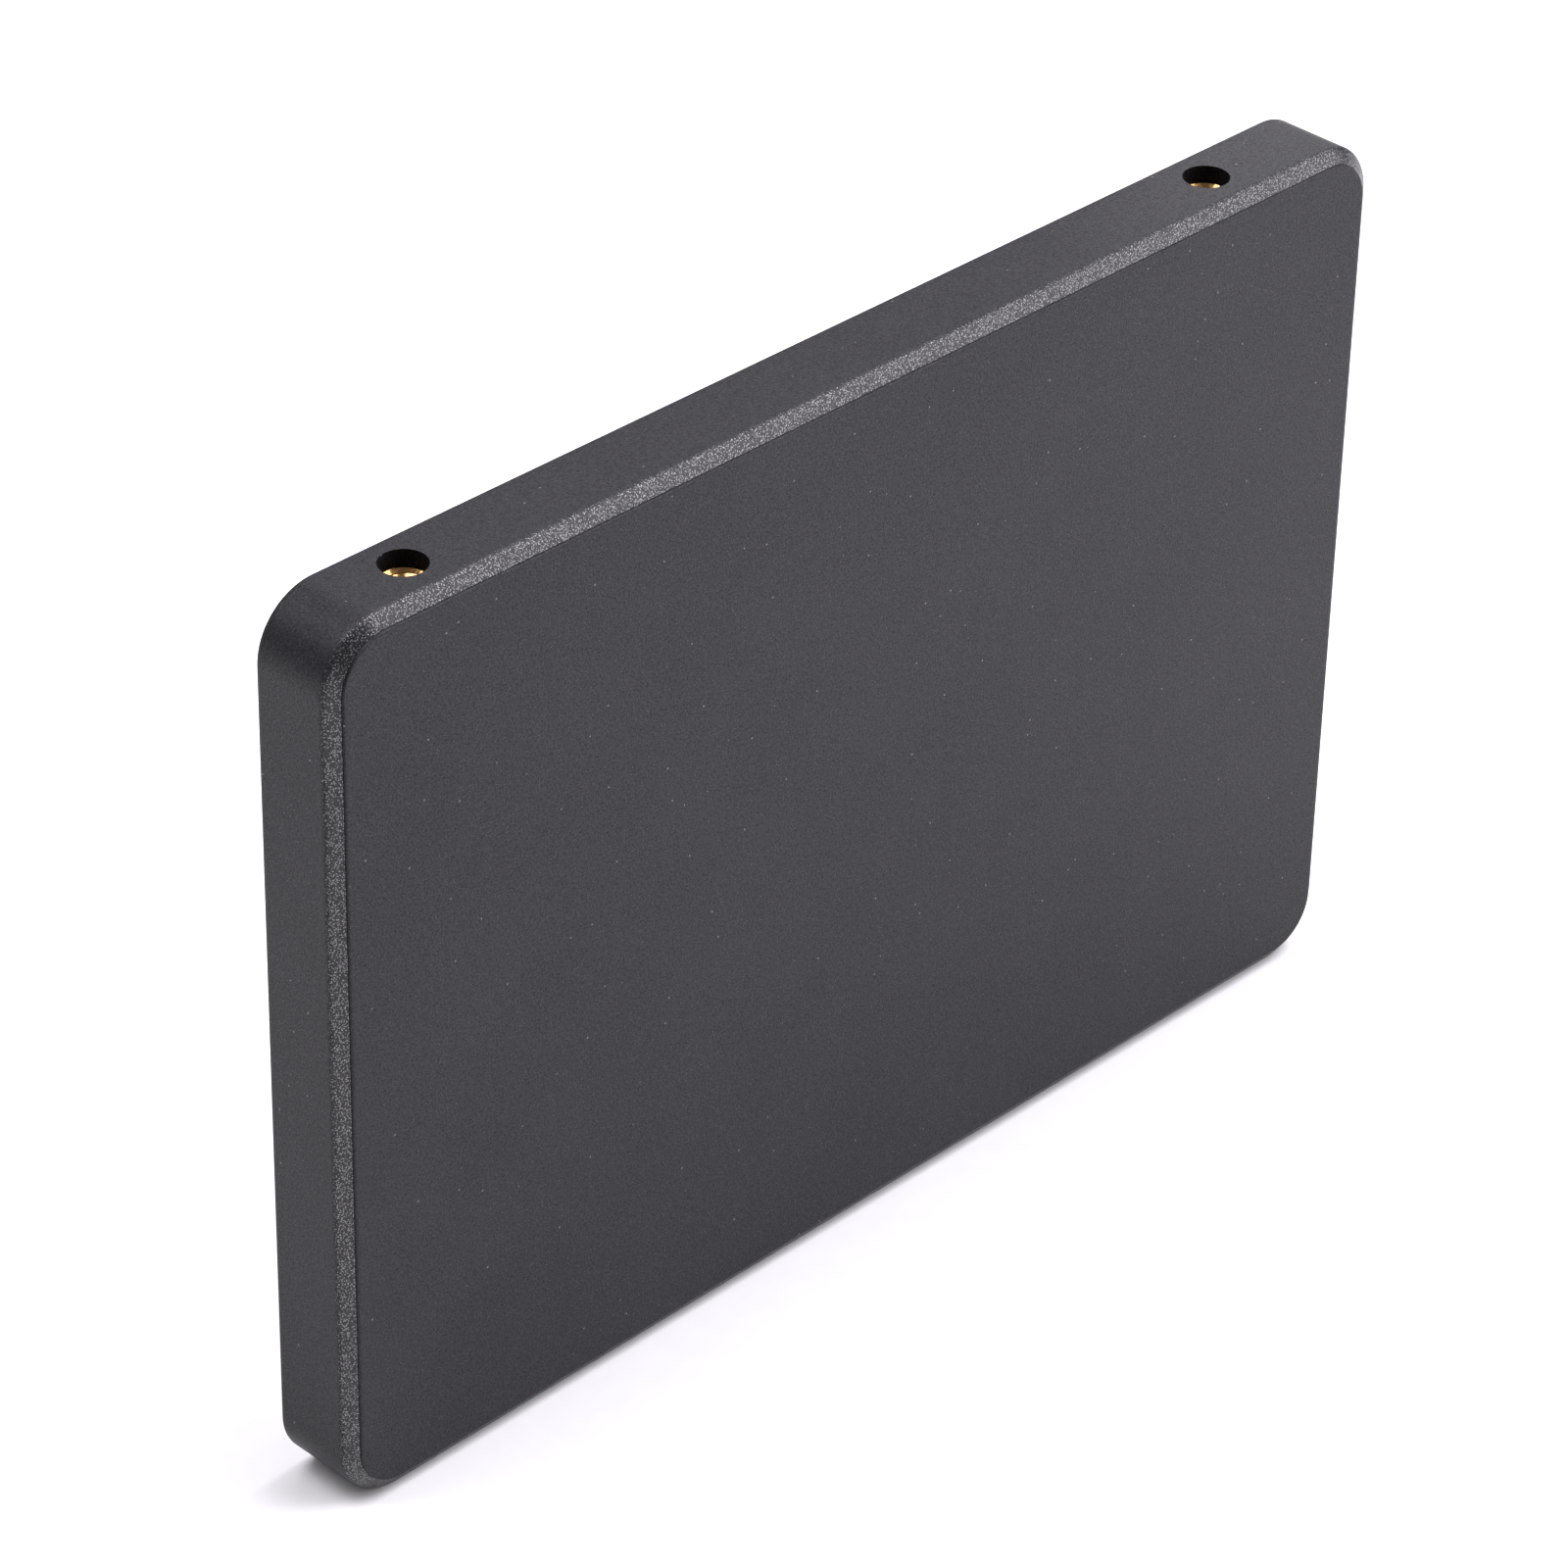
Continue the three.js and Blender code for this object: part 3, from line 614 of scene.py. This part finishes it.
def carve(thing: Object, cutters: list[BMesh]) -> None:
    """Cuts each closed shape out of an object.

    Args:
        thing: The object to cut. The cut faces take its last material.
        cutters: Closed shapes, which are used up.
    """
    cut_material = max(0, len(thing.data.materials) - 1)
    for number, bm in enumerate(cutters):
        for face in bm.faces:
            face.material_index = cut_material
        tool = mesh_object(f"cutter_{number}", bm)
        step = thing.modifiers.new("cut", "BOOLEAN")
        step.operation = "DIFFERENCE"
        step.solver = "EXACT"
        step.object = tool
        settle(thing)
        bpy.data.objects.remove(tool)


def smooth_by_angle(thing: Object, degrees: float) -> None:
    """Shades an object smooth, with sharp edges where its faces meet at more than an angle.

    Args:
        thing: The object.
        degrees: The angle.
    """
    bm = bmesh.new()
    bm.from_mesh(thing.data)
    for face in bm.faces:
        face.smooth = True
    for edge in bm.edges:
        edge.smooth = edge.is_manifold and edge.calc_face_angle(0.0) < math.radians(degrees)
    bm.to_mesh(thing.data)
    bm.free()


def round_off(bm: BMesh, edges: list[BMEdge], radius: float, steps: int) -> None:
    """Rounds edges.

    Args:
        bm: The bmesh.
        edges: Its edges that are rounded.
        radius: How far from each edge the rounding starts.
        steps: Steps of the rounding.
    """
    bmesh.ops.bevel(
        bm, geom=edges, offset=radius, segments=steps, profile=0.5, affect="EDGES", material=-1
    )


def folded_edges(bm: BMesh, z: float, angle: float) -> list[BMEdge]:
    """Finds the edges at one height where two faces meet at more than an angle.

    Args:
        bm: The bmesh.
        z: The height.
        angle: The angle in radians.

    Returns:
        The edges.
    """
    level = [e for e in bm.edges if all(abs(v.co.z - z) < LEVEL for v in e.verts)]
    return [e for e in level if e.calc_face_angle(0.0) > angle]


def bar(low: Vector, high: Vector, radius: float) -> BMesh:
    """Makes a round bar between two points.

    Args:
        low: Centre of one end.
        high: Centre of the other end.
        radius: The bar's radius.

    Returns:
        The closed bar.
    """
    bm = bmesh.new()
    run = high - low
    turn = run.to_track_quat("Z", "Y").to_matrix().to_4x4()
    bmesh.ops.create_cone(
        bm,
        cap_ends=True,
        segments=HOLE_SIDES,
        radius1=radius,
        radius2=radius,
        depth=run.length,
        matrix=Matrix.Translation((low + high) / 2) @ turn,
    )
    return bm


def block(low: Iterable[float], high: Iterable[float], edge: float = 0.0) -> BMesh:
    """Makes a box between two corners, with rounded edges.

    Args:
        low: Lowest corner.
        high: Highest corner.
        edge: Radius of the rounded edges, or 0 for sharp ones.

    Returns:
        The closed box.
    """
    bm = bmesh.new()
    bmesh.ops.create_cube(bm, size=1.0, matrix=box_matrix(low, high))
    if edge > 0:
        round_off(bm, list(bm.edges), edge, BLOCK_STEPS)
    return bm


def finish_piece(
    piece: Object, extent: Extent, finish: Finish, nodes: list[str]
) -> None:
    """Stands a piece up, dresses it and ties it to the frame.

    Args:
        piece: The piece, modelled lying.
        extent: The drive's sizes.
        finish: The piece's finish, unless it has its materials already.
        nodes: The CAD nodes that it stands for.
    """
    piece.data.transform(extent.stand())
    if not piece.data.materials:
        piece.data.materials.append(finish.material())
    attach(piece, BODY)
    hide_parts(*nodes)


def dress(parts: Iterable[Object], finish: Finish) -> None:
    """Gives parts one finish.

    Args:
        parts: CAD nodes, whose meshes stay as they are.
        finish: The finish.
    """
    for part in parts:
        part.data.materials.clear()
        part.data.materials.append(finish.material())


# ---------------------------------------------------------------- case


@dataclass
class Case:
    """The moulded case: a front cover with the side walls, and a flat back cover set inside them.

    Attributes:
        extent: The drive's sizes.
        corner_radius: Radius of the outline's corners.
        corner_steps: Steps in each of them.
        corner_margin: How far before the corners the flat walls get a loop.
        foot_loop: Height of the lowest loop round the side walls.
        foot_radius: Rounding of the rims of both covers, at the base.
        shoulder_radius: Rounding between the side walls and the chamfer.
        shoulder_steps: Steps in it.
        chamfer_inset: Width of the chamfer, across the label face.
        chamfer_depth: Drop from the label face to the chamfer's outer edge.
        panel_step: How far the label panel stands above the chamfer.
        panel_ledge: Flat strip between the chamfer and the panel.
        panel_draft: How far the panel's edge leans in.
        panel_loop: Width of the panel's outer loop, which keeps its shading flat.
        crest_radius: Rounding of the panel's edge.
        rim_steps: Steps in the roundings of the panel and of the base.
        grain_edge: How far above the shoulder the coarse grain is full.
        grain_fade: Height over which it fades down the side walls.
        wall: Thickness of the side walls.
        face_thickness: Thickness of the label face.
        lid_thickness: Thickness of the back cover.
        fit_gap: Gap round the back cover.
        hole_stations: Places of the screw holes, from the connector end.
        hole_radius: Radius of the screw holes in the plastic.
        side_hole_height: Height of the side holes above the base.
        side_hole_depth: How far they go in through the plastic.
        base_hole_inset: Place of the base holes, from each long edge.
        window_margin: Room beside the connector housing, in its window.
        window_depth: How far the window goes in from the housing's outer end.
        crease: Angle between faces, in degrees, from which an edge is sharp.
        window_low: The window's lower side across the drive.
        window_high: Its upper side.
        window_root: Its inner end.
    """

    extent: Extent
    corner_radius: float = 4.8 * MM
    corner_steps: int = 20
    corner_margin: float = 0.4 * MM
    foot_loop: float = 0.35 * MM
    foot_radius: float = 0.15 * MM
    shoulder_radius: float = 0.3 * MM
    shoulder_steps: int = 4
    chamfer_inset: float = 1.05 * MM
    chamfer_depth: float = 0.8 * MM
    panel_step: float = 0.2 * MM
    panel_ledge: float = 0.05 * MM
    panel_draft: float = 0.02 * MM
    panel_loop: float = 0.3 * MM
    crest_radius: float = 0.05 * MM
    rim_steps: int = 3
    grain_edge: float = 0.12 * MM
    grain_fade: float = 0.4 * MM
    wall: float = 1.3 * MM
    face_thickness: float = 1.2 * MM
    lid_thickness: float = 1.0 * MM
    fit_gap: float = 0.2 * MM
    hole_stations: tuple[float, float] = (14.0 * MM, 90.6 * MM)
    hole_radius: float = 1.7 * MM
    side_hole_height: float = 3.0 * MM
    side_hole_depth: float = 4.0 * MM
    base_hole_inset: float = 4.07 * MM
    window_margin: float = 0.5 * MM
    window_depth: float = 5.0 * MM
    crease: float = 28.0
    window_low: float = field(init=False)
    window_high: float = field(init=False)
    window_root: float = field(init=False)

    def __post_init__(self) -> None:
        """Takes the connector window's place from the housing that fills it."""
        low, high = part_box("connector_housing")
        self.window_low = low.z - self.extent.width / 2 - self.window_margin
        self.window_high = high.z - self.extent.width / 2 + self.window_margin
        self.window_root = high.x - self.window_depth

    def rounded_slab(self, inset: float, low: float, high: float) -> BMesh:
        """Makes the case's outline, moved inward, as a slab.

        Args:
            inset: How far the outline is moved in.
            low: Lower face's height.
            high: Upper face's height.

        Returns:
            The slab, with straight sides and round corners.
        """
        x = self.extent.length / 2 - inset
        y = self.extent.width / 2 - inset
        bm = block((-x, -y, low), (x, y, high))
        tall = (high - low) / 2
        upright = [e for e in bm.edges if abs(e.verts[0].co.z - e.verts[1].co.z) > tall]
        round_off(bm, upright, self.corner_radius - inset, self.corner_steps)
        return bm

    def slice_sides(self, bm: BMesh, heights: Iterable[float]) -> None:
        """Adds level loops round the side walls, and upright ones just before the corners.

        They keep the flat walls flat in the shading and carry the grain's edge.

        Args:
            bm: The slab.
            heights: Heights of the level loops.
        """
        x = self.extent.length / 2 - self.corner_radius - self.corner_margin
        y = self.extent.width / 2 - self.corner_radius - self.corner_margin
        planes = [(Vector((0, 0, z)), Vector((0, 0, 1))) for z in heights]
        planes += [(Vector((side * x, 0, 0)), Vector((1, 0, 0))) for side in (-1, 1)]
        planes += [(Vector((0, side * y, 0)), Vector((0, 1, 0))) for side in (-1, 1)]
        for point, normal in planes:
            geometry = [*bm.verts, *bm.edges, *bm.faces]
            bmesh.ops.bisect_plane(bm, geom=geometry, dist=SAME, plane_co=point, plane_no=normal)

    def top_faces(self, bm: BMesh) -> list[BMFace]:
        """Finds the faces of the highest level."""
        top = max(v.co.z for v in bm.verts)
        return [f for f in bm.faces if all(abs(v.co.z - top) < SAME for v in f.verts)]

    def step_in(self, bm: BMesh, faces: list[BMFace], inset: float, rise: float) -> None:
        """Moves a flat region in from its outline, and up or down.

        Args:
            bm: The bmesh.
            faces: The region.
            inset: How far its outline moves in.
            rise: How far it moves up.
        """
        bmesh.ops.inset_region(
            bm, faces=faces, thickness=inset, depth=0.0, use_even_offset=True, use_boundary=True
        )
        bmesh.ops.translate(bm, vec=(0, 0, rise), verts=list({v for f in faces for v in f.verts}))

    def front_cover_outside(self) -> BMesh:
        """Makes the front cover's outside: the side walls, the chamfer and the label panel.

        Returns:
            The closed outside, still solid, with the coarse grain's attribute.
        """
        shoulder = self.extent.height - self.chamfer_depth
        fade = self.grain_fade
        bm = self.rounded_slab(0.0, 0.0, shoulder)
        self.slice_sides(bm, [self.foot_loop, shoulder - 2 * fade, shoulder - fade])
        grain = bm.verts.layers.float.new(GRAIN)
        rise = self.chamfer_depth - self.panel_step
        self.step_in(bm, self.top_faces(bm), self.chamfer_inset, rise)
        soft = folded_edges(bm, shoulder, SLOPE)
        round_off(bm, soft, self.shoulder_radius, self.shoulder_steps)
        for vert in bm.verts:
            drop = shoulder + self.grain_edge - vert.co.z
            vert[grain] = min(1.0, max(0.0, 1 - drop / fade))

        panel = self.top_faces(bm)
        for inset, rise in (
            (self.panel_ledge, 0.0),
            (self.panel_draft, self.panel_step),
            (self.panel_loop, 0.0),
        ):
            self.step_in(bm, panel, inset, rise)
            for vert in {v for f in panel for v in f.verts}:
                vert[grain] = 0.0
        crest = folded_edges(bm, self.extent.height, SLOPE)
        round_off(bm, crest, self.crest_radius, self.rim_steps)
        round_off(bm, folded_edges(bm, 0.0, SQUARE), self.foot_radius, self.rim_steps)
        return bm

    def side_holes(self) -> list[BMesh]:
        """Makes the round cutters of the four side holes.

        Returns:
            One closed bar per hole.
        """
        half = self.extent.width / 2
        cutters = []
        for station in self.hole_stations:
            x = self.extent.length / 2 - station
            for edge in LongEdge:
                ends = (half + CLEAR, half - self.side_hole_depth)
                outer, inner = (Vector((x, edge.value * y, self.side_hole_height)) for y in ends)
                cutters.append(bar(outer, inner, self.hole_radius))
        return cutters

    def window(self, low: float, high: float) -> BMesh:
        """Makes the cutter of the connector's window in the end wall.

        Args:
            low: The window's lower edge.
            high: Its upper edge.

        Returns:
            The closed cutter.
        """
        end = self.extent.length / 2 + CLEAR
        return block((self.window_root, self.window_low, low), (end, self.window_high, high))

    def front_cover(self) -> Object:
        """Builds the front cover, hollow, with its holes and its window.

        Returns:
            The cover, lying, with its materials.
        """
        cover = mesh_object("front_cover_moulding", self.front_cover_outside())
        # The cut faces take the inner plastic, whose darker colour is painted shade in the holes
        # and the window.
        for finish in (CASE_PLASTIC, SHADED_INNER_PLASTIC):
            cover.data.materials.append(finish.material())
        ceiling = self.extent.height - self.face_thickness
        hollow = self.rounded_slab(self.wall, -CLEAR, ceiling)
        carve(cover, [hollow, *self.side_holes(), self.window(-CLEAR, ceiling)])
        return cover

    def back_cover(self) -> Object:
        """Builds the flat back cover with its four holes and its notch.

        Returns:
            The cover, lying.
        """
        bm = self.rounded_slab(self.wall + self.fit_gap, 0.0, self.lid_thickness)
        bm.verts.layers.float.new(GRAIN)
        round_off(bm, folded_edges(bm, 0.0, SQUARE), self.foot_radius, self.rim_steps)
        lid = mesh_object("back_cover_moulding", bm)
        low, high = -CLEAR, self.lid_thickness + CLEAR
        holes = []
        for station in self.hole_stations:
            x = self.extent.length / 2 - station
            for edge in LongEdge:
                y = edge.value * (self.extent.width / 2 - self.base_hole_inset)
                holes.append(bar(Vector((x, y, low)), Vector((x, y, high)), self.hole_radius))
        carve(lid, [*holes, self.window(low, high)])
        return lid

    def build(self) -> list[Object]:
        """Builds both covers, stands them up and dresses them.

        Returns:
            The finished pieces.
        """
        front = self.front_cover()
        back = self.back_cover()
        for piece, finish, node, slot in (
            (front, CASE_PLASTIC, "front_cover", "case_plastic"),
            (back, LID_PLASTIC, "back_cover", "lid_plastic"),
        ):
            smooth_by_angle(piece, self.crease)
            finish_piece(piece, self.extent, finish, [node])
        return [front, back]


# ---------------------------------------------------------------- nut blocks


@dataclass(frozen=True)
class Hole:
    """A threaded hole.

    Attributes:
        mouth: Centre of its mouth.
        inward: Unit vector into the block.
        depth: Its depth.
    """

    mouth: Vector
    inward: Vector
    depth: float

    def seat(self, bm: BMesh) -> None:
        """Closes a shape that was spun round the z axis, and moves it into the hole.

        Args:
            bm: The shape, with the hole's mouth at the origin and the hole below it.
        """
        bmesh.ops.remove_doubles(bm, verts=bm.verts, dist=SAME)
        bmesh.ops.recalc_face_normals(bm, faces=bm.faces)
        turn = (-self.inward).to_track_quat("Z", "Y").to_matrix().to_4x4()
        bm.transform(Matrix.Translation(self.mouth) @ turn)


@dataclass
class NutBlock:
    """A brass block with a side thread and a base thread that meet inside it.

    Attributes:
        node: The CAD node that it stands for.
        case: The case that holds it.
        station: Its place from the connector end.
        edge: The long edge that it is at.
        length: Along the drive.
        width: Across the drive.
        setback: From the long edge to its outer face.
        bottom: Height of its lower face above the base.
        top: Height of its upper face.
        edge_radius: Rounding of its edges.
        major_radius: Half of the thread's outer diameter: M3.
        minor_radius: Half of its inner diameter.
        pitch: The thread's pitch.
        lead_in: Width and depth of the cone at a hole's mouth.
        side_depth: Depth of the side hole.
        base_depth: Depth of the base hole.
        root_overlap: How far the ridge is sunk in the bore's wall.
        root_share: Half width of the ridge's root, in pitches.
        crest_share: Width of its crest, as a share of its root's.
        thread_start: Depth at which it starts, as a share of the lead-in.
        bore_steps: Sides of the bore.
        thread_steps: Steps in one turn of the ridge.
        crease: Angle between faces, in degrees, from which an edge is sharp.
    """

    node: str
    case: Case
    station: float
    edge: LongEdge
    length: float = 6.0 * MM
    width: float = 5.0 * MM
    setback: float = 1.4 * MM
    bottom: float = 1.2 * MM
    top: float = 5.6 * MM
    edge_radius: float = 0.12 * MM
    major_radius: float = 1.5 * MM
    minor_radius: float = 1.24 * MM
    pitch: float = 0.5 * MM
    lead_in: float = 0.25 * MM
    side_depth: float = 5.6 * MM
    base_depth: float = 3.4 * MM
    root_overlap: float = 0.02 * MM
    root_share: float = 0.42
    crest_share: float = 0.15
    thread_start: float = 0.7
    bore_steps: int = 48
    thread_steps: int = 36
    crease: float = 30.0

    def bore(self, hole: Hole) -> BMesh:
        """Makes the cutter of one hole: its bore and the cone at its mouth, spun round the axis.

        Args:
            hole: The hole.

        Returns:
            The closed cutter.
        """
        bm = bmesh.new()
        radius = self.major_radius
        wide = radius + self.lead_in
        profile = [
            (0.0, hole.depth),
            (radius, hole.depth),
            (radius, self.lead_in),
            (wide, 0.0),
            (wide, -CLEAR),
            (0.0, -CLEAR),
        ]
        verts = [bm.verts.new((r, 0.0, -z)) for r, z in profile]
        edges = [bm.edges.new(pair) for pair in zip(verts, verts[1:])]
        bmesh.ops.spin(
            bm,
            geom=[*verts, *edges],
            cent=(0, 0, 0),
            axis=(0, 0, 1),
            angle=2 * math.pi,
            steps=self.bore_steps,
            use_merge=True,
        )
        hole.seat(bm)
        return bm

    def thread(self, hole: Hole) -> BMesh:
        """Makes the thread's ridge: a small triangle with a cut tip, wound down the bore.

        Args:
            hole: The hole.

        Returns:
            The closed ridge.
        """
        bm = bmesh.new()
        root = self.major_radius + self.root_overlap
        half = self.pitch * self.root_share
        tip = half * self.crest_share
        start = self.lead_in * self.thread_start
        profile = ((root, half), (self.minor_radius, tip), (self.minor_radius, -tip), (root, -half))
        face = bm.faces.new([bm.verts.new((r, 0.0, -start + z)) for r, z in profile])
        turns = (hole.depth - start - self.pitch) / self.pitch
        steps = int(turns * self.thread_steps)
        bmesh.ops.spin(
            bm,
            geom=[face, *face.edges, *face.verts],
            cent=(0, 0, 0),
            axis=(0, 0, 1),
            dvec=Vector((0, 0, -self.pitch * turns / steps)),
            angle=2 * math.pi * turns,
            steps=steps,
        )
        hole.seat(bm)
        return bm

    def build(self) -> Object:
        """Builds the block, with both threads, and dresses it.

        Returns:
            The finished block.
        """
        extent = self.case.extent
        side = self.edge.value
        x = extent.length / 2 - self.station
        outer = extent.width / 2 - self.setback
        ys = sorted((side * outer, side * (outer - self.width)))
        half = self.length / 2
        body = block((x - half, ys[0], self.bottom), (x + half, ys[1], self.top), self.edge_radius)
        piece = mesh_object(f"{self.node}_threaded", body)
        side_mouth = Vector((x, side * outer, self.case.side_hole_height))
        base_y = side * (extent.width / 2 - self.case.base_hole_inset)
        base_mouth = Vector((x, base_y, self.bottom))
        holes = (
            Hole(side_mouth, Vector((0, -side, 0)), self.side_depth),
            Hole(base_mouth, Vector((0, 0, 1)), self.base_depth),
        )
        carve(piece, [self.bore(hole) for hole in holes])
        joined = bmesh.new()
        joined.from_mesh(piece.data)
        for hole in holes:
            ridge = self.thread(hole)
            mesh = bpy.data.meshes.new("ridge")
            ridge.to_mesh(mesh)
            ridge.free()
            joined.from_mesh(mesh)
            bpy.data.meshes.remove(mesh)
        joined.to_mesh(piece.data)
        joined.free()
        smooth_by_angle(piece, self.crease)
        finish_piece(piece, extent, NUT_BRASS, [self.node])
        return piece


# ---------------------------------------------------------------- connector and board


@dataclass
class Connector:
    """The moulded connector with its contacts and board locks.

    Attributes:
        data_contacts: Contacts of the data tongue.
        power_contacts: Contacts of the power tongue.
    """

    data_contacts: int = 7
    power_contacts: int = 15

    def build(self, nodes: dict[str, Object]) -> list[Object]:
        """Dresses the connector's parts.

        Args:
            nodes: The frame's nodes.

        Returns:
            The dressed parts.
        """
        parts = [nodes["connector_housing"]]
        dress(parts, CONNECTOR_PLASTIC)
        contacts = [nodes[f"data_contact_{i + 1}"] for i in range(self.data_contacts)]
        contacts += [nodes[f"power_contact_{i + 1}"] for i in range(self.power_contacts)]
        dress(contacts, CONTACT_GOLD)
        locks = [nodes["board_lock_1"], nodes["board_lock_2"]]
        dress(locks, TIN)
        return [*parts, *contacts, *locks]


@dataclass
class Board:
    """The circuit board and everything that stands on it.

    Attributes:
        finishes: Each kind of part, by the start of its nodes' names, and its finish.
    """

    finishes: dict[str, Finish] = field(
        default_factory=lambda: {
            "circuit_board": BOARD,
            "board_screw": SCREW_STEEL,
            "controller_chip": CHIP_COMPOUND,
            "cache_chip": CHIP_COMPOUND,
            "power_chip": CHIP_COMPOUND,
            "fuse_chip": CHIP_COMPOUND,
            "flash_chip": CHIP_COMPOUND,
            "inductor": FERRITE,
            "capacitor": CAPACITOR_CERAMIC,
            "crystal": TIN,
            "thermal_pad": PAD_SILICONE,
        }
    )

    def build(self, nodes: dict[str, Object]) -> list[Object]:
        """Dresses the board and its parts.

        Args:
            nodes: The frame's nodes.

        Returns:
            The dressed parts.
        """
        dressed = []
        for start, finish in self.finishes.items():
            parts = [part for name, part in nodes.items() if name.startswith(start)]
            dress(parts, finish)
            dressed += parts
        return dressed


# ---------------------------------------------------------------- studio


def direction(azimuth: float, elevation: float) -> Vector:
    """Gives the unit vector from the drive towards a place round it.

    Args:
        azimuth: Degrees round the drive: 0 is in front of the label face, 90 is at the
            connector end.
        elevation: Degrees above the horizon.

    Returns:
        The unit vector.
    """
    a, e = math.radians(azimuth), math.radians(elevation)
    return Vector((math.sin(a) * math.cos(e), -math.cos(a) * math.cos(e), math.sin(e)))


@dataclass
class Softbox:
    """One soft square light that looks at the drive's middle.

    Attributes:
        name: The light's name.
        azimuth: Where it stands, in degrees round the drive: 0 is in front of the label face.
        elevation: Degrees above the horizon.
        distance: From the drive's middle.
        size: Its side.
        power: Watts.
    """

    name: str
    azimuth: float
    elevation: float
    distance: float
    size: float
    power: float

    def build(self, target: Vector) -> Object:
        """Makes the light.

        Args:
            target: What it looks at.

        Returns:
            The light.
        """
        lamp = bpy.data.lights.new(self.name, "AREA")
        lamp.shape = "SQUARE"
        lamp.size = self.size
        lamp.energy = self.power
        lamp.color = STUDIO_TINT
        made = bpy.data.objects.new(self.name, lamp)
        back = direction(self.azimuth, self.elevation)
        made.location = target + back * self.distance
        made.rotation_euler = (-back).to_track_quat("-Z", "Y").to_euler()
        made.visible_camera = False
        bpy.context.scene.collection.objects.link(made)
        return made


@dataclass
class Studio:
    """The pale floor, the soft lights and the camera.

    Attributes:
        extent: The drive's sizes.
        azimuth: Where the camera stands, in degrees round the drive.
        elevation: Its degrees above the horizon.
        roll: Its turn about its own axis, in degrees.
        distance: From the drive's middle.
        side_step: How far it is moved to its right.
        rise: How far it is moved up.
        lens: Its focal length, in millimetres.
        sensor: Its sensor's width, in millimetres.
        near: Distance at which its view starts.
        far: Distance at which its view ends.
        floor_half: Half of the floor's side.
        fill: Strength of the even light from all round.
        softboxes: The lights.
    """

    extent: Extent
    azimuth: float = -46.0
    elevation: float = 33.06
    roll: float = 1.23
    distance: float = 430.5 * MM
    side_step: float = -4.08 * MM
    rise: float = 0.26 * MM
    lens: float = 141.0
    sensor: float = 36.0
    near: float = 0.01
    far: float = 20.0
    floor_half: float = 3.0
    fill: float = 0.17
    softboxes: tuple[Softbox, ...] = (
        Softbox("key_softbox", 44.0, 18.0, 0.9, 0.6, 4.6),
        Softbox("front_softbox", 64.0, 60.0, 1.2, 1.0, 20.0),
        Softbox("back_softbox", 137.0, 44.0, 1.2, 0.7, 3.4),
        Softbox("right_card", 106.0, 34.5, 0.088, 0.03, 0.0035),
        Softbox("back_left_softbox", -137.0, 64.0, 1.0, 0.5, 6.0),
        Softbox("left_softbox", -137.0, 37.0, 0.9, 0.25, 0.9),
    )

    def target(self) -> Vector:
        """Gives the drive's middle."""
        return Vector((0.0, 0.0, self.extent.width / 2))

    def camera(self) -> Object:
        """Makes the camera and makes it the scene's.

        Returns:
            The camera.
        """
        back = direction(self.azimuth, self.elevation)
        right = Vector((0, 0, 1)).cross(back).normalized()
        up = back.cross(right)
        turn = Matrix.Rotation(math.radians(self.roll), 3, back)
        right, up = turn @ right, turn @ up
        lens = bpy.data.cameras.new("camera")
        lens.lens = self.lens
        lens.sensor_width = self.sensor
        lens.clip_start = self.near
        lens.clip_end = self.far
        made = bpy.data.objects.new("camera", lens)
        place = self.target() + back * self.distance + right * self.side_step + up * self.rise
        axes = Matrix((right, up, back)).transposed().to_4x4()
        made.matrix_world = Matrix.Translation(place) @ axes
        bpy.context.scene.collection.objects.link(made)
        bpy.context.scene.camera = made
        return made

    def floor(self) -> Object:
        """Makes the table top that the drive stands on.

        Returns:
            The floor.
        """
        bm = bmesh.new()
        bmesh.ops.create_grid(bm, x_segments=1, y_segments=1, size=self.floor_half)
        made = mesh_object("studio_floor", bm)
        made.data.materials.append(FLOOR_PAPER.material())
        made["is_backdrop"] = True
        return made

    def world(self) -> None:
        """Fills the studio with even light, shown without a film curve."""
        scene = bpy.context.scene
        scene.world = bpy.data.worlds.new("studio")
        scene.world.use_nodes = True
        sky = scene.world.node_tree.nodes["Background"]
        sky.inputs["Color"].default_value = (*STUDIO_TINT, 1.0)
        sky.inputs["Strength"].default_value = self.fill
        scene.view_settings.view_transform = "Standard"

    def build(self) -> None:
        """Builds the whole studio."""
        self.camera()
        self.floor()
        self.world()
        for softbox in self.softboxes:
            softbox.build(self.target())


# ---------------------------------------------------------------- everything together


def main() -> None:
    """Builds the drive's pieces in order, then the studio round them."""
    logging.basicConfig(level=logging.INFO, format="%(name)s: %(message)s")
    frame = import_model()
    extent = Extent.of_frame()
    case = Case(extent)
    for piece in case.build():
        log.info("built %s", piece.name)
    for end, station in zip(("connector", "plain"), case.hole_stations):
        for edge in (LongEdge.UPPER, LongEdge.LOWER):
            node = f"nut_block_{end}_{edge.name.lower()}"
            piece = NutBlock(node, case, station, edge).build()
            log.info("built %s", piece.name)
    for piece in Connector().build(frame["nodes"]):
        log.info("dressed %s", piece.name)
    for piece in Board().build(frame["nodes"]):
        log.info("dressed %s", piece.name)
    Studio(extent).build()


if __name__ == "__main__":
    main()
